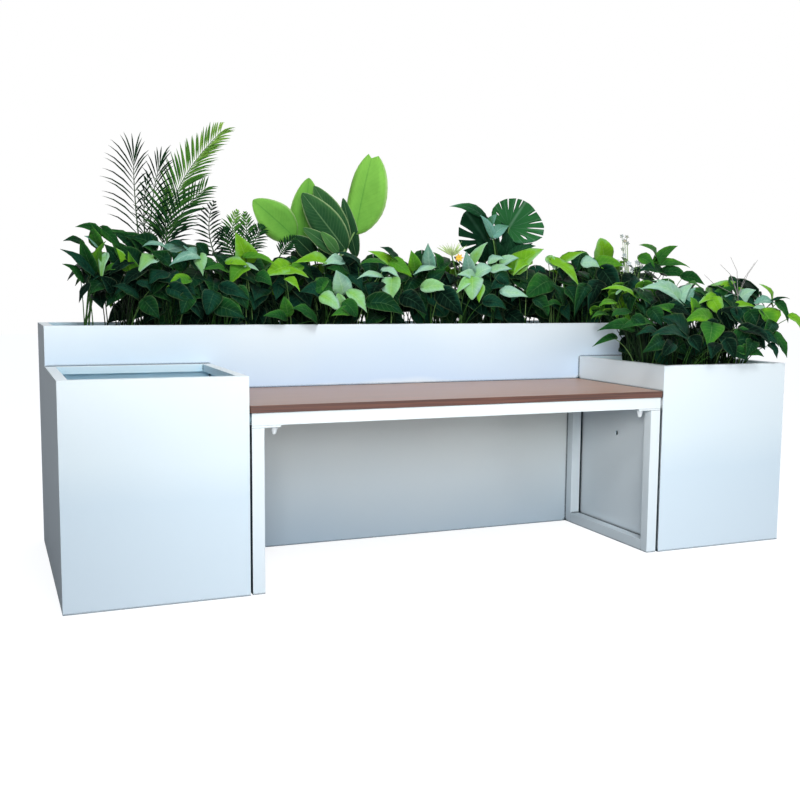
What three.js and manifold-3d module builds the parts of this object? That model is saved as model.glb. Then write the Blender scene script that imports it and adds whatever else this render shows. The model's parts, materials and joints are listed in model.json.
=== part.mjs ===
// Bench between two square planters, with a long planter behind it, all of folded and coated steel sheet.
// Millimetres, +Z up, +X to the right and +Y to the back, seen from the seat's front.
// The origin is the middle of the long planter's underside, on the floor.
import * as THREE from "three";
import { mergeVertices } from "three/addons/utils/BufferGeometryUtils.js";
import Module from "manifold-3d";

const wasm = await Module();
wasm.setup();

// Whole piece
const overallWidth = 2000;
const seatHeight = 450;
const restGap = 0.3; // between pieces that rest on or are welded to each other
const unitGap = 0.5; // between the planters and the bench, which stand side by side
const cutOverrun = 5; // how far every cutting shape runs past what it cuts

// Sides of the round shapes
const roundSides = 16;
const smallSides = 10;
const hexSides = 6;

// Planters, folded from sheet
const sheet = 2;
const rearDepth = 300;
const rearHeight = 622;
const sideWidth = 422;
const sideDepth = 429.5;
const sideHeight = 519;
const rimWidth = 25; // flange turned in at the top
const rimReturn = 19; // lip turned down along the flange's inner edge
const footFlange = 20; // flange turned in at the bottom
const drainRadius = 8;
const drainSpacing = 400;
const drainEdge = 70; // first drain hole from the panel's edge
const cableHoleRadius = 6;
const cableHoleHeight = 307;

// Bolt and nut that join each side planter to the long one
const joinBoltRadius = 4;
const joinBoltPlay = 0.4;
const joinBoltHeight = 430;
const joinHeadRadius = 8;
const joinHeadHeight = 5;
const joinNutRadius = 7.5;
const joinNutHeight = 6.5;
const joinThreadProud = 3;

// Plastic liners with soil, and the stands that carry them
const linerWall = 3;
const linerPlay = 5; // liner to the rim's lip, all round
const linerDrop = 16; // liner's edge below the top of the rim
const linerDepth = 180;
const linerDrainRadius = 7;
const soilDrop = 8; // soil below the liner's edge
const standWidth = 160;
const standEdge = 20; // stand's end to the planter's wall
const rearStandOffset = 560;

// Seat board and the square tubes under it
const tubeSize = 30;
const tubeWall = 1.5;
const boardThickness = 17;
const boardGap = 3; // board to each side planter
const boardRounding = 2;
const frameGap = 6; // frame to each side planter
const frameInset = 3; // frame behind the board's front edge
const crossMemberOffset = 200;

// Plates on the legs, bolted up to the frame with studs and hand nuts
const plateLength = 70;
const plateThickness = 5;
const studRadius = 4;
const studPlay = 0.4;
const studHeadRadius = 7;
const studHeadHeight = 3;
const nutFromFrameEnd = 57;
const nutTopRadius = 8.5;
const nutBottomRadius = 5;
const nutHeight = 18;
const nutRimHeight = 3;
const nutRounding = 2;
const nutBoreDepth = 12;
const studTipGap = 2;

// Wood screws up through the cross members into the board
const screwRadius = 2.5;
const screwHeadRadius = 4.5;
const screwHeadHeight = 3;
const screwBite = 12;
const screwPlay = 0.4;
const screwInset = 90; // from the front and the rear of the frame

// Planting
const matThickness = 8; // knot of roots that each plant stands on
const matEdge = 4; // mat to the liner's wall
const matGap = 4; // mat to mat
const stemWidth = 4.5;
const bladeThickness = 2.2;
const bladeFoldShare = 0.16; // rise of a blade's edges over its midrib, of half its width
const foliageGap = 4; // foliage to the planters and to the other liner's foliage
const pothosLeaf = 96;
const pothosLeafWidthShare = 0.74;
const rearFoliageTop = 915;
const rearFoliageReach = 108; // from the middle of the long planter to the blades' stems at front and back
const rearFoliageEnd = 75; // from the long planter's ends to the first stems
const rearFoliageRise = 28; // lowest stems' upper ends above the rim
const rearLeafCount = 34; // leaves on each bush
const sideFoliageTop = 822;
const sideFoliageReach = 265; // from the middle of the side planter to the stems at its sides
const sideFoliageFront = 205;
const sideFoliageRise = 43;
const sideLeafCount = 30;

const palmHeight = 566;
const palmStalkWidth = 9;
const palmLeaflet = 105;
const leafletWidth = 10;
const leafletSpacing = 21;
const crownSize = 42; // of the root crowns of the tall plants
const fernHeight = 365;
const fernStalkWidth = 6;
const fernDepth = -35; // in front of the palm
const fernLeaflet = 62;
const bananaHeight = 520;
const bananaLeafWidth = 132;
const bananaStalkWidth = 12;
const monsteraHeight = 345;
const monsteraLeafWidth = 190;
const monsteraStalkWidth = 6.5;
const tallPlantDepth = 38; // tall plants behind the middle of the long planter
const flowerHeight = 225;
const flowerRadius = 26;
const rosetteLeafWidth = 18;
const sprigHeight = 305;
const budRadius = 7;
const twigHeight = 330;
const twigOffset = 50; // right of the middle of the right planter

// Levels and faces worked out from the sizes above
const boardBottom = seatHeight - boardThickness;
const railTop = boardBottom - restGap;
const railBottom = railTop - tubeSize;
const plateTop = railBottom - restGap;
const plateBottom = plateTop - plateThickness;
const legTop = plateBottom - restGap;
const sideCentreX = overallWidth / 2 - sideWidth / 2;
const sideCentreY = -rearDepth / 2 - unitGap - sideDepth / 2;
const frontFace = sideCentreY - sideDepth / 2;
const benchWidth = overallWidth - 2 * sideWidth;
const frameHalf = benchWidth / 2 - frameGap;
const frameFront = frontFace + frameInset;
const frameBack = -rearDepth / 2 - unitGap;
const frameDepth = frameBack - frameFront;

// Finishes
const finishes = {
  coat: { color: 0xf1f3f4, roughness: 0.22, metalness: 0.1 },
  board: { color: 0x7a5348, roughness: 0.45, metalness: 0 },
  steel: { color: 0xb9bcc0, roughness: 0.35, metalness: 1 },
  nut: { color: 0xf4f5f6, roughness: 0.3, metalness: 0 },
  liner: { color: 0x1d1f20, roughness: 0.6, metalness: 0 },
  soil: { color: 0x2a211b, roughness: 0.95, metalness: 0 },
  pothos: { color: 0x2f6b2a, roughness: 0.4, metalness: 0 },
  palm: { color: 0x2d6b2c, roughness: 0.5, metalness: 0 },
  banana: { color: 0x6fae46, roughness: 0.4, metalness: 0 },
  monstera: { color: 0x1f5a2c, roughness: 0.35, metalness: 0 },
  flower: { color: 0xe0b82a, roughness: 0.5, metalness: 0 },
  sprig: { color: 0xd7dccb, roughness: 0.6, metalness: 0 },
};

// A closed geometry as a solid that can be cut and joined.
function solid(geometry) {
  const bare = geometry.index ? geometry.toNonIndexed() : geometry.clone();
  bare.deleteAttribute("normal");
  bare.deleteAttribute("uv");
  const merged = mergeVertices(bare);
  return new wasm.Manifold(
    new wasm.Mesh({
      numProp: 3,
      vertProperties: merged.attributes.position.array,
      triVerts: new Uint32Array(merged.index.array),
    }),
  );
}

// A solid as a geometry to draw.
function geometryOf(shape) {
  const mesh = shape.getMesh();
  const geometry = new THREE.BufferGeometry();
  geometry.setAttribute("position", new THREE.BufferAttribute(mesh.vertProperties, mesh.numProp));
  geometry.setIndex(new THREE.BufferAttribute(mesh.triVerts, 1));
  const faceted = geometry.toNonIndexed();
  faceted.computeVertexNormals();
  return faceted;
}

function addPiece(parent, name, shape, finish, x = 0, y = 0, z = 0) {
  const mesh = new THREE.Mesh(geometryOf(shape), new THREE.MeshStandardMaterial(finishes[finish]));
  mesh.name = name;
  mesh.position.set(x, y, z);
  parent.add(mesh);
}

// A box between two corners.
function box(lowX, highX, lowY, highY, lowZ, highZ) {
  const geometry = new THREE.BoxGeometry(highX - lowX, highY - lowY, highZ - lowZ);
  geometry.translate((lowX + highX) / 2, (lowY + highY) / 2, (lowZ + highZ) / 2);
  return solid(geometry);
}

// A box centred on its own axis, standing on a level.
function post(width, depth, lowZ, highZ) {
  return box(-width / 2, width / 2, -depth / 2, depth / 2, lowZ, highZ);
}

// A rod along +Z between two levels, centred on x and y.
function rod(radius, lowZ, highZ, x = 0, y = 0, sides = roundSides) {
  const geometry = new THREE.CylinderGeometry(radius, radius, highZ - lowZ, sides);
  geometry.rotateX(Math.PI / 2);
  geometry.translate(x, y, (lowZ + highZ) / 2);
  return solid(geometry);
}

function joined(shapes) {
  return wasm.Manifold.union(shapes);
}

// Places spread evenly between two ends, no further apart than the spacing.
function spread(low, high, spacing) {
  const count = Math.max(1, Math.ceil((high - low) / spacing));
  return Array.from({ length: count + 1 }, (_, i) => low + ((high - low) * i) / count);
}

// Planter shell: four walls, a rim turned in and down at the top, and a foot flange at the bottom.
function planterShell(width, depth, height) {
  const insideWidth = width - 2 * sheet;
  const insideDepth = depth - 2 * sheet;
  const mouthWidth = width - 2 * rimWidth;
  const mouthDepth = depth - 2 * rimWidth;
  const footWidth = width - 2 * footFlange;
  const footDepth = depth - 2 * footFlange;
  const lip = post(mouthWidth + 2 * sheet, mouthDepth + 2 * sheet, height - rimReturn, height - sheet / 2);
  return post(width, depth, 0, height)
    .subtract(post(insideWidth, insideDepth, sheet, height - sheet))
    .subtract(post(footWidth, footDepth, -cutOverrun, sheet + cutOverrun))
    .add(lip)
    .subtract(post(mouthWidth, mouthDepth, height - rimReturn - cutOverrun, height + cutOverrun));
}

// Base panel: it is let into the foot flange, level with it, and has rows of drain holes.
function planterBase(width, depth) {
  const panelWidth = width - 2 * footFlange - 2 * restGap;
  const panelDepth = depth - 2 * footFlange - 2 * restGap;
  const holes = [];
  for (const x of spread(drainEdge - panelWidth / 2, panelWidth / 2 - drainEdge, drainSpacing)) {
    for (const y of spread(drainEdge - panelDepth / 2, panelDepth / 2 - drainEdge, drainSpacing)) {
      holes.push(rod(drainRadius, -cutOverrun, sheet + cutOverrun, x, y, smallSides));
    }
  }
  return post(panelWidth, panelDepth, 0, sheet).subtract(joined(holes));
}

// Levels of what stands inside a planter of this height.
function levels(height) {
  const linerTop = height - linerDrop;
  const linerBottom = linerTop - linerDepth;
  return { linerTop, linerBottom, soilTop: linerTop - soilDrop };
}

// Liner: a trough with drain holes in its floor, small enough to lift out through the rim.
function liner(width, depth, height) {
  const { linerTop, linerBottom } = levels(height);
  const outerWidth = width - 2 * rimWidth - 2 * linerPlay;
  const outerDepth = depth - 2 * rimWidth - 2 * linerPlay;
  const innerWidth = outerWidth - 2 * linerWall;
  const innerDepth = outerDepth - 2 * linerWall;
  const holes = spread(drainEdge - innerWidth / 2, innerWidth / 2 - drainEdge, drainSpacing).map((x) =>
    rod(linerDrainRadius, linerBottom - cutOverrun, linerBottom + linerWall + cutOverrun, x, 0, smallSides),
  );
  return post(outerWidth, outerDepth, linerBottom, linerTop)
    .subtract(post(innerWidth, innerDepth, linerBottom + linerWall, linerTop + cutOverrun))
    .subtract(joined(holes));
}

// Inside size of a liner's trough.
function troughSize(width, depth) {
  const taken = 2 * rimWidth + 2 * linerPlay + 2 * linerWall;
  return { width: width - taken, depth: depth - taken };
}

function soilBlock(width, depth, height) {
  const { linerBottom, soilTop } = levels(height);
  const trough = troughSize(width, depth);
  const low = linerBottom + linerWall + restGap;
  return post(trough.width - 2 * restGap, trough.depth - 2 * restGap, low, soilTop);
}

// Stand under a liner: sheet folded like an upside-down U, standing on the base panel.
function linerStand(depth, height) {
  const { linerBottom } = levels(height);
  const length = depth - 2 * sheet - 2 * standEdge;
  const low = sheet + restGap;
  const high = linerBottom - restGap;
  return post(standWidth, length, low, high).subtract(
    post(standWidth - 2 * sheet, length + 2 * cutOverrun, low - cutOverrun, high - sheet),
  );
}

// Square tube, open at its ends, centred on its own axis.
function tube(length, axis) {
  const inner = tubeSize - 2 * tubeWall;
  const made = post(tubeSize, tubeSize, -length / 2, length / 2).subtract(
    post(inner, inner, -length / 2 - cutOverrun, length / 2 + cutOverrun),
  );
  const quarter = 90;
  if (axis === "x") return made.rotate([0, quarter, 0]);
  if (axis === "y") return made.rotate([quarter, 0, 0]);
  return made;
}

// Seat board with its upper and front arrises rounded, and pilot holes for the screws below.
function seatBoard(pilots) {
  const width = benchWidth - 2 * boardGap;
  const depth = frameDepth + frameInset;
  const outline = new THREE.Shape();
  const half = depth / 2;
  outline.moveTo(-half, 0);
  outline.lineTo(half, 0);
  outline.lineTo(half, boardThickness);
  outline.lineTo(boardRounding - half, boardThickness);
  outline.absarc(boardRounding - half, boardThickness - boardRounding, boardRounding, Math.PI / 2, Math.PI);
  outline.closePath();
  const settings = { depth: width, bevelEnabled: false, curveSegments: 4 };
  const geometry = new THREE.ExtrudeGeometry(outline, settings);
  geometry.translate(0, 0, -width / 2);
  geometry.rotateX(Math.PI / 2);
  geometry.rotateZ(Math.PI / 2);
  return solid(geometry).subtract(joined(pilots));
}

// Hand nut: a tapered cap with a blind bore, turned about its stud; its top is at z = 0.
function handNut() {
  const bore = studRadius + studPlay;
  const profile = [
    new THREE.Vector2(0, -nutHeight),
    new THREE.Vector2(nutBottomRadius - nutRounding, -nutHeight),
    new THREE.Vector2(nutBottomRadius, nutRounding - nutHeight),
    new THREE.Vector2(nutTopRadius, -nutRimHeight),
    new THREE.Vector2(nutTopRadius, 0),
    new THREE.Vector2(bore, 0),
    new THREE.Vector2(bore, -nutBoreDepth),
    new THREE.Vector2(0, -nutBoreDepth),
  ];
  const geometry = new THREE.LatheGeometry(profile, roundSides);
  geometry.rotateX(Math.PI / 2);
  return solid(geometry);
}

// Stud with a flat head inside the tube; z = 0 is the top of the tube's lower wall.
function stud() {
  const reach = tubeWall + restGap + plateThickness + restGap + nutBoreDepth - studTipGap;
  return rod(studRadius, -reach, studHeadHeight / 2).add(rod(studHeadRadius, restGap, studHeadHeight));
}

// Repeatable value between 0 and 1 for a leaf's number and a purpose.
const waveShares = { index: 12.9898, salt: 78.233, spread: 43758.5453 };
function chance(index, salt) {
  const wave = Math.sin(index * waveShares.index + salt * waveShares.salt) * waveShares.spread;
  return wave - Math.floor(wave);
}

function mix(low, high, share) {
  return low + (high - low) * share;
}

const vector = (x, y, z) => new THREE.Vector3(x, y, z);

// Closed skin over rings of four points that ends in a point: a stem that runs out into a blade.
function ringLoft(rings, tip) {
  const corners = [];
  const face = (a, b, c) => corners.push(a, b, c);
  const first = rings[0];
  const last = rings[rings.length - 1];
  for (let k = 1; k + 1 < first.length; k += 1) face(first[0], first[k + 1], first[k]);
  first.forEach((_, k) => {
    const next = (k + 1) % first.length;
    for (let i = 0; i + 1 < rings.length; i += 1) {
      face(rings[i][k], rings[i][next], rings[i + 1][next]);
      face(rings[i][k], rings[i + 1][next], rings[i + 1][k]);
    }
    face(last[k], last[next], tip);
  });
  return solid(new THREE.BufferGeometry().setFromPoints(corners));
}

// Ring of four points round a centre: right, up, left and down, with the edges raised by the fold.
function ring(centre, side, along, width, thickness, foldShare = 0) {
  const up = new THREE.Vector3().crossVectors(along, side).normalize();
  const half = width / 2;
  const fold = half * foldShare;
  const at = (right, rise) => centre.clone().addScaledVector(side, right).addScaledVector(up, rise);
  return [at(half, fold), at(0, thickness / 2), at(-half, fold), at(0, -thickness / 2)];
}

// Outlines of blades: where along the blade each ring stands, and how wide it is there.
const heartBlade = { alongShares: [0.08, 0.36, 0.72], widthShares: [0.74, 1, 0.6] };
const longBlade = { alongShares: [0.06, 0.28, 0.62, 0.88], widthShares: [0.5, 0.94, 1, 0.58] };

// One leaf: an arched stem from its root to the blade, and a folded blade that droops to its tip.
function leafSolid(leaf) {
  const { root, base, tip, facing, width, stem = stemWidth, arch = 0, droop = 0, blade = heartBlade } = leaf;
  const along = new THREE.Vector3().subVectors(tip, base);
  const side = new THREE.Vector3().crossVectors(facing, along).normalize();
  const up = new THREE.Vector3().crossVectors(along, side).normalize();
  const middle = root.clone().lerp(base, 0.5);
  middle.z += arch;
  const rise = new THREE.Vector3().subVectors(middle, root);
  const fall = new THREE.Vector3().subVectors(base, middle);
  const turn = fall.clone().normalize().add(along.clone().normalize());
  const rings = [
    ring(root, side, rise, stem, stem),
    ring(middle, side, rise.clone().add(fall), stem, stem),
    ring(base, side, turn, stem, stem),
  ];
  blade.alongShares.forEach((share, i) => {
    const centre = base.clone().addScaledVector(along, share);
    centre.addScaledVector(up, droop * share * (1 - share));
    rings.push(ring(centre, side, along, width * blade.widthShares[i], bladeThickness, bladeFoldShare));
  });
  return ringLoft(rings, tip);
}

function touches(a, b) {
  const first = a.boundingBox();
  const second = b.boundingBox();
  const clear = (low, high, axis) => low.max[axis] < high.min[axis];
  const apart = [0, 1, 2].some((axis) => clear(first, second, axis) || clear(second, first, axis));
  return !apart && !a.intersect(b).isEmpty();
}

// Adds leaves to a root mat and leaves out each one that would run into something already there.
function planted(mat, leaves, obstacles) {
  const kept = leaves.filter((made) => !obstacles.some((other) => touches(made, other)));
  return joined([mat, ...kept]);
}

// How the leaves of a bush vary: least and greatest shares of its reach, height and leaf length.
const goldenShare = 0.618034;
const bushShares = {
  hood: [0.7, 1], // of the way out to the hood
  crown: [0.8, 1], // of the bush's height
  endCrown: 0.75, // height left where an end leans right over
  hang: 0.8, // of the angle over the hood, at the stem's upper end
  rootMix: 0.3, // how far roots stray from under their blades
  rootDepth: 0.35, // of the reach, to the front and back of the middle
  length: [0.72, 1.08], // of a full leaf
  sideways: 0.7,
  outwards: 0.8,
  fall: [-1, -0.2],
  skyward: 0.4, // how far a blade's face turns up
  arch: 0.3, // of the stem's sideways run
  droop: 0.4, // of the blade's length
};

// Leaves of one bush: the blades lie on a rounded hood over the mat, and hang outwards and down.
function bushLeaves(bush) {
  const { seed, count, lowX, highX, rootHalf, centreX, reach, low, top, endLean } = bush;
  const leaves = [];
  for (let i = 0; i < count; i += 1) {
    let salt = seed;
    const next = (lowShare, highShare) => mix(lowShare, highShare, chance(i, (salt += 1)));
    const acrossShare = (i + next(0, 1)) / count;
    const angle = mix(-bush.hoodAngle, bush.hoodAngle, (i * goldenShare + seed * goldenShare) % 1);
    const hoodShare = next(...bushShares.hood);
    const end = 2 * acrossShare - 1;
    const lean = endLean * end ** 3;
    const outward = vector(lean, Math.sin(angle), Math.cos(angle)).normalize();
    const crown = (top - low) * mix(1, bushShares.endCrown, Math.abs(lean)) * next(...bushShares.crown);
    const base = vector(
      mix(lowX, highX, acrossShare),
      reach * Math.sin(angle) * hoodShare,
      low + crown * hoodShare * Math.cos(angle * bushShares.hang),
    );
    const root = vector(
      centreX + rootHalf * mix(-1, 1, mix(acrossShare, next(0, 1), bushShares.rootMix)),
      reach * next(-bushShares.rootDepth, bushShares.rootDepth),
      bush.matTop - matThickness / 2,
    );
    const length = pothosLeaf * next(...bushShares.length);
    const along = vector(
      next(-bushShares.sideways, bushShares.sideways) + lean,
      outward.y * bushShares.outwards,
      next(...bushShares.fall),
    ).normalize();
    const facing = outward.clone().add(vector(0, 0, bushShares.skyward)).normalize();
    const tip = base.clone().addScaledVector(along, length);
    const arch = bushShares.arch * Math.hypot(base.x - root.x, base.y - root.y);
    const droop = bushShares.droop * length;
    leaves.push(leafSolid({ root, base, tip, facing, width: length * pothosLeafWidthShare, arch, droop }));
  }
  return leaves;
}

// One frond: a flat feather with a curved stalk and two rows of pointed leaflets, longest below its middle.
// It stands in the plane of x and z with its foot at the origin, and leans back as it rises.
const stalkTipShare = 0.4; // of the stalk's width, left at its tip
const leafletAngles = [1.05, 0.5]; // leaflet to stalk, low down and at the tip
const swellShares = [0.3, 0.93]; // part of a half wave that the leaflets' lengths follow
function frondSolid({ bend, tip, leaflet, bareShare, stalk, lean }) {
  const curve = new THREE.QuadraticBezierCurve(new THREE.Vector2(0, 0), bend, tip);
  const length = curve.getLength();
  const edgePoint = (share, hand) => {
    const along = curve.getTangentAt(share);
    const half = (stalk / 2) * mix(1, stalkTipShare, share);
    return curve.getPointAt(share).add(new THREE.Vector2(along.y, -along.x).multiplyScalar(hand * half));
  };
  const sideOutline = (hand) => {
    const points = [edgePoint(0, hand)];
    for (const distance of spread(bareShare * length, length - leafletSpacing, leafletSpacing)) {
      const share = distance / length;
      const along = curve.getTangentAt(share);
      const angle = Math.atan2(along.y, along.x) - hand * mix(...leafletAngles, share);
      const swell = Math.sin(Math.PI * mix(...swellShares, (share - bareShare) / (1 - bareShare)));
      const end = new THREE.Vector2(Math.cos(angle), Math.sin(angle)).multiplyScalar(leaflet * swell);
      const halfShare = leafletWidth / 2 / length;
      points.push(edgePoint(share - halfShare, hand));
      points.push(curve.getPointAt(share).add(end));
      points.push(edgePoint(share + halfShare, hand));
    }
    return points;
  };
  const outline = new THREE.Shape([...sideOutline(1), tip, ...sideOutline(-1).reverse()]);
  const geometry = new THREE.ExtrudeGeometry(outline, { depth: bladeThickness, bevelEnabled: false });
  geometry.rotateX(Math.PI / 2);
  geometry.applyMatrix4(new THREE.Matrix4().makeShear(0, 0, 0, 0, 0, lean));
  return solid(geometry);
}

// Round blade with slits from its edge towards the midrib, facing the seat's front and tilted.
const slitPlaceShares = [-0.3, 0, 0.3, 0.58]; // of half the width, from the blade's middle
const slitShares = { width: 0.06, middle: 0.85 }; // of half the blade's width
const slitAngle = 0.45;
const bladeLengthShare = 0.92; // of the blade's width
const bladeMiddleShare = 0.72; // of half the width, from the stalk to the blade's middle
function slitBlade(width, tilt, turn) {
  const outline = new THREE.Shape();
  const half = width / 2;
  outline.absellipse(0, half * bladeMiddleShare, half, half * bladeLengthShare, 0, 2 * Math.PI);
  const geometry = new THREE.ExtrudeGeometry(outline, {
    depth: bladeThickness,
    bevelEnabled: false,
    curveSegments: 9,
  });
  geometry.translate(0, 0, -bladeThickness / 2);
  const slits = [];
  for (const share of slitPlaceShares) {
    for (const hand of [-1, 1]) {
      const slit = new THREE.BoxGeometry(half, half * slitShares.width, bladeThickness + 2 * cutOverrun);
      slit.translate(half * slitShares.middle, 0, 0);
      slit.rotateZ(slitAngle);
      slit.translate(0, half * (bladeMiddleShare + share), 0);
      if (hand < 0) slit.rotateY(Math.PI);
      slits.push(solid(slit));
    }
  }
  const upright = 90;
  return solid(geometry).subtract(joined(slits)).rotate([0, 0, turn]).rotate([upright + tilt, 0, 0]);
}

// Levels of a root mat on the soil of a planter of this height.
function matLevels(height) {
  const low = levels(height).soilTop + restGap;
  return { low, middle: low + matThickness / 2, top: low + matThickness };
}

// Space over a planter's rim that foliage stays out of, so that it clears the rim when it is lifted.
function rimGuard(width, depth, height) {
  const mouthWidth = width - 2 * rimWidth - 2 * foliageGap;
  const mouthDepth = depth - 2 * rimWidth - 2 * foliageGap;
  const low = levels(height).soilTop;
  return post(width + 2 * foliageGap, depth + 2 * foliageGap, low, height + foliageGap).subtract(
    post(mouthWidth, mouthDepth, low - cutOverrun, height + cutOverrun + foliageGap),
  );
}

// Root mats side by side over the soil, with square holes for the crowns of other plants.
function rootMats(width, depth, height, count, crowns) {
  const trough = troughSize(width, depth);
  const { low, top } = matLevels(height);
  const room = trough.width - 2 * matEdge - (count - 1) * matGap;
  const matWidth = room / count;
  const holes = crowns.map(({ x, y, size }) =>
    post(size + 2 * matGap, size + 2 * matGap, low - cutOverrun, top + cutOverrun).translate([x, y, 0]),
  );
  return Array.from({ length: count }, (_, i) => {
    const centre = (i - (count - 1) / 2) * (matWidth + matGap);
    const mat = post(matWidth, trough.depth - 2 * matEdge, low, top).translate([centre, 0, 0]);
    return { centre, half: matWidth / 2, mat: holes.length ? mat.subtract(joined(holes)) : mat };
  });
}

function crownSolid({ x, y, size }, height) {
  const { low, top } = matLevels(height);
  return post(size, size, low, top).translate([x, y, 0]);
}

const model = new THREE.Group();
const rearPlanter = new THREE.Group();
const leftPlanter = new THREE.Group();
const rightPlanter = new THREE.Group();
const bench = new THREE.Group();
leftPlanter.position.set(-sideCentreX, sideCentreY, 0);
rightPlanter.position.set(sideCentreX, sideCentreY, 0);
model.add(rearPlanter, leftPlanter, rightPlanter, bench);

// Holes for the joining bolts: through the long planter's front wall and the side planters' rear walls
function joinHole(x, y) {
  const length = 2 * (sheet + unitGap + cutOverrun);
  const radius = joinBoltRadius + joinBoltPlay;
  const geometry = new THREE.CylinderGeometry(radius, radius, length, roundSides);
  geometry.translate(x, y, joinBoltHeight);
  return solid(geometry);
}
const joinPlane = -rearDepth / 2 - unitGap / 2;
const sideJoinPlane = joinPlane - sideCentreY;

// Hole in the wall beside the bench for a lamp or watering lead
function cableHole(hand) {
  const length = 2 * (sheet + cutOverrun);
  const geometry = new THREE.CylinderGeometry(cableHoleRadius, cableHoleRadius, length, roundSides);
  geometry.rotateZ(Math.PI / 2);
  geometry.translate((hand * sideWidth) / 2, 0, cableHoleHeight);
  return solid(geometry);
}

// Long planter
const rearShell = planterShell(overallWidth, rearDepth, rearHeight)
  .subtract(joinHole(-sideCentreX, joinPlane))
  .subtract(joinHole(sideCentreX, joinPlane));
addPiece(rearPlanter, "rear_planter_shell", rearShell, "coat");
addPiece(rearPlanter, "rear_planter_base", planterBase(overallWidth, rearDepth), "coat");
addPiece(rearPlanter, "rear_liner_stand_left", linerStand(rearDepth, rearHeight), "steel", -rearStandOffset);
addPiece(rearPlanter, "rear_liner_stand_right", linerStand(rearDepth, rearHeight), "steel", rearStandOffset);
addPiece(rearPlanter, "rear_liner", liner(overallWidth, rearDepth, rearHeight), "liner");
addPiece(rearPlanter, "rear_soil", soilBlock(overallWidth, rearDepth, rearHeight), "soil");

// Side planters: the left one stands empty, the right one is planted
const sideShell = planterShell(sideWidth, sideDepth, sideHeight).subtract(joinHole(0, sideJoinPlane));
addPiece(leftPlanter, "left_planter_shell", sideShell.subtract(cableHole(1)), "coat");
addPiece(leftPlanter, "left_planter_base", planterBase(sideWidth, sideDepth), "coat");
addPiece(rightPlanter, "right_planter_shell", sideShell.subtract(cableHole(-1)), "coat");
addPiece(rightPlanter, "right_planter_base", planterBase(sideWidth, sideDepth), "coat");
addPiece(rightPlanter, "right_liner_stand", linerStand(sideDepth, sideHeight), "steel");
addPiece(rightPlanter, "right_liner", liner(sideWidth, sideDepth, sideHeight), "liner");
addPiece(rightPlanter, "right_soil", soilBlock(sideWidth, sideDepth, sideHeight), "soil");

// Joining bolts from inside the side planters, with nuts inside the long planter
const grip = sheet + unitGap / 2 + restGap;
function joinBolt() {
  const shank = rod(joinBoltRadius, -grip - joinHeadHeight / 2, grip + joinNutHeight + joinThreadProud);
  return shank.add(rod(joinHeadRadius, -grip - joinHeadHeight, -grip, 0, 0, hexSides));
}
function joinNut() {
  const hole = rod(joinBoltRadius + joinBoltPlay / 2, grip - cutOverrun, grip + joinNutHeight + cutOverrun);
  return rod(joinNutRadius, grip, grip + joinNutHeight, 0, 0, hexSides).subtract(hole);
}
const backwards = -90;
for (const [side, hand] of [["left", -1], ["right", 1]]) {
  const place = [hand * sideCentreX, joinPlane, joinBoltHeight];
  addPiece(model, `${side}_joining_bolt`, joinBolt().rotate([backwards, 0, 0]), "steel", ...place);
  addPiece(model, `${side}_joining_nut`, joinNut().rotate([backwards, 0, 0]), "steel", ...place);
}

// Bench: seat board on a frame of square tubes, between two legs bent round like a U
const boardCentreY = (frontFace + frameBack) / 2;
const frameCentreY = (frameFront + frameBack) / 2;
const railMiddle = (railTop + railBottom) / 2;
const frontTubeY = frameFront + tubeSize / 2;
const rearTubeY = frameBack - tubeSize / 2;
const endTubeX = frameHalf - tubeSize / 2;
const screwPlaces = [-1, 1].flatMap((handX) =>
  [frameFront + screwInset, frameBack - screwInset].map((y) => [handX * crossMemberOffset, y]),
);
const pilots = screwPlaces.map(([x, y]) =>
  rod(screwRadius + restGap / 2, -cutOverrun, screwBite + restGap, x, y - boardCentreY, smallSides),
);
addPiece(bench, "seat_board", seatBoard(pilots), "board", 0, boardCentreY, boardBottom);

// Holes through the lower wall of a rail for the studs
const studPlaces = [-1, 1].map((hand) => hand * (frameHalf - nutFromFrameEnd));
const studHoles = joined(
  studPlaces.map((x) => rod(studRadius + studPlay, -tubeSize, tubeWall - tubeSize / 2 + restGap, x)),
);
const longRail = tube(2 * frameHalf, "x").subtract(studHoles);
const shortRail = tube(frameDepth - 2 * tubeSize - 2 * restGap, "y");
addPiece(bench, "seat_rail_front", longRail, "coat", 0, frontTubeY, railMiddle);
addPiece(bench, "seat_rail_rear", longRail, "coat", 0, rearTubeY, railMiddle);
addPiece(bench, "seat_rail_left", shortRail, "coat", -endTubeX, frameCentreY, railMiddle);
addPiece(bench, "seat_rail_right", shortRail, "coat", endTubeX, frameCentreY, railMiddle);

// Cross members with a hole under each screw
function crossMember(places) {
  const radius = screwRadius + screwPlay;
  const holes = places.map(([, y]) => rod(radius, -tubeSize, tubeSize, 0, y - frameCentreY, smallSides));
  return shortRail.subtract(joined(holes));
}
const screwLow = -tubeSize - restGap;
function seatScrew() {
  return rod(screwRadius, screwLow - screwHeadHeight / 2, screwBite + restGap, 0, 0, smallSides).add(
    rod(screwHeadRadius, screwLow - screwHeadHeight, screwLow),
  );
}
["left", "right"].forEach((side, i) => {
  const hand = i === 0 ? -1 : 1;
  const places = screwPlaces.filter(([x]) => Math.sign(x) === hand);
  const x = hand * crossMemberOffset;
  addPiece(bench, `cross_member_${side}`, crossMember(places), "coat", x, frameCentreY, railMiddle);
  ["front", "rear"].forEach((end, j) => {
    addPiece(bench, `seat_screw_${side}_${end}`, seatScrew(), "steel", x, places[j][1], railTop);
  });
});

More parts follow.
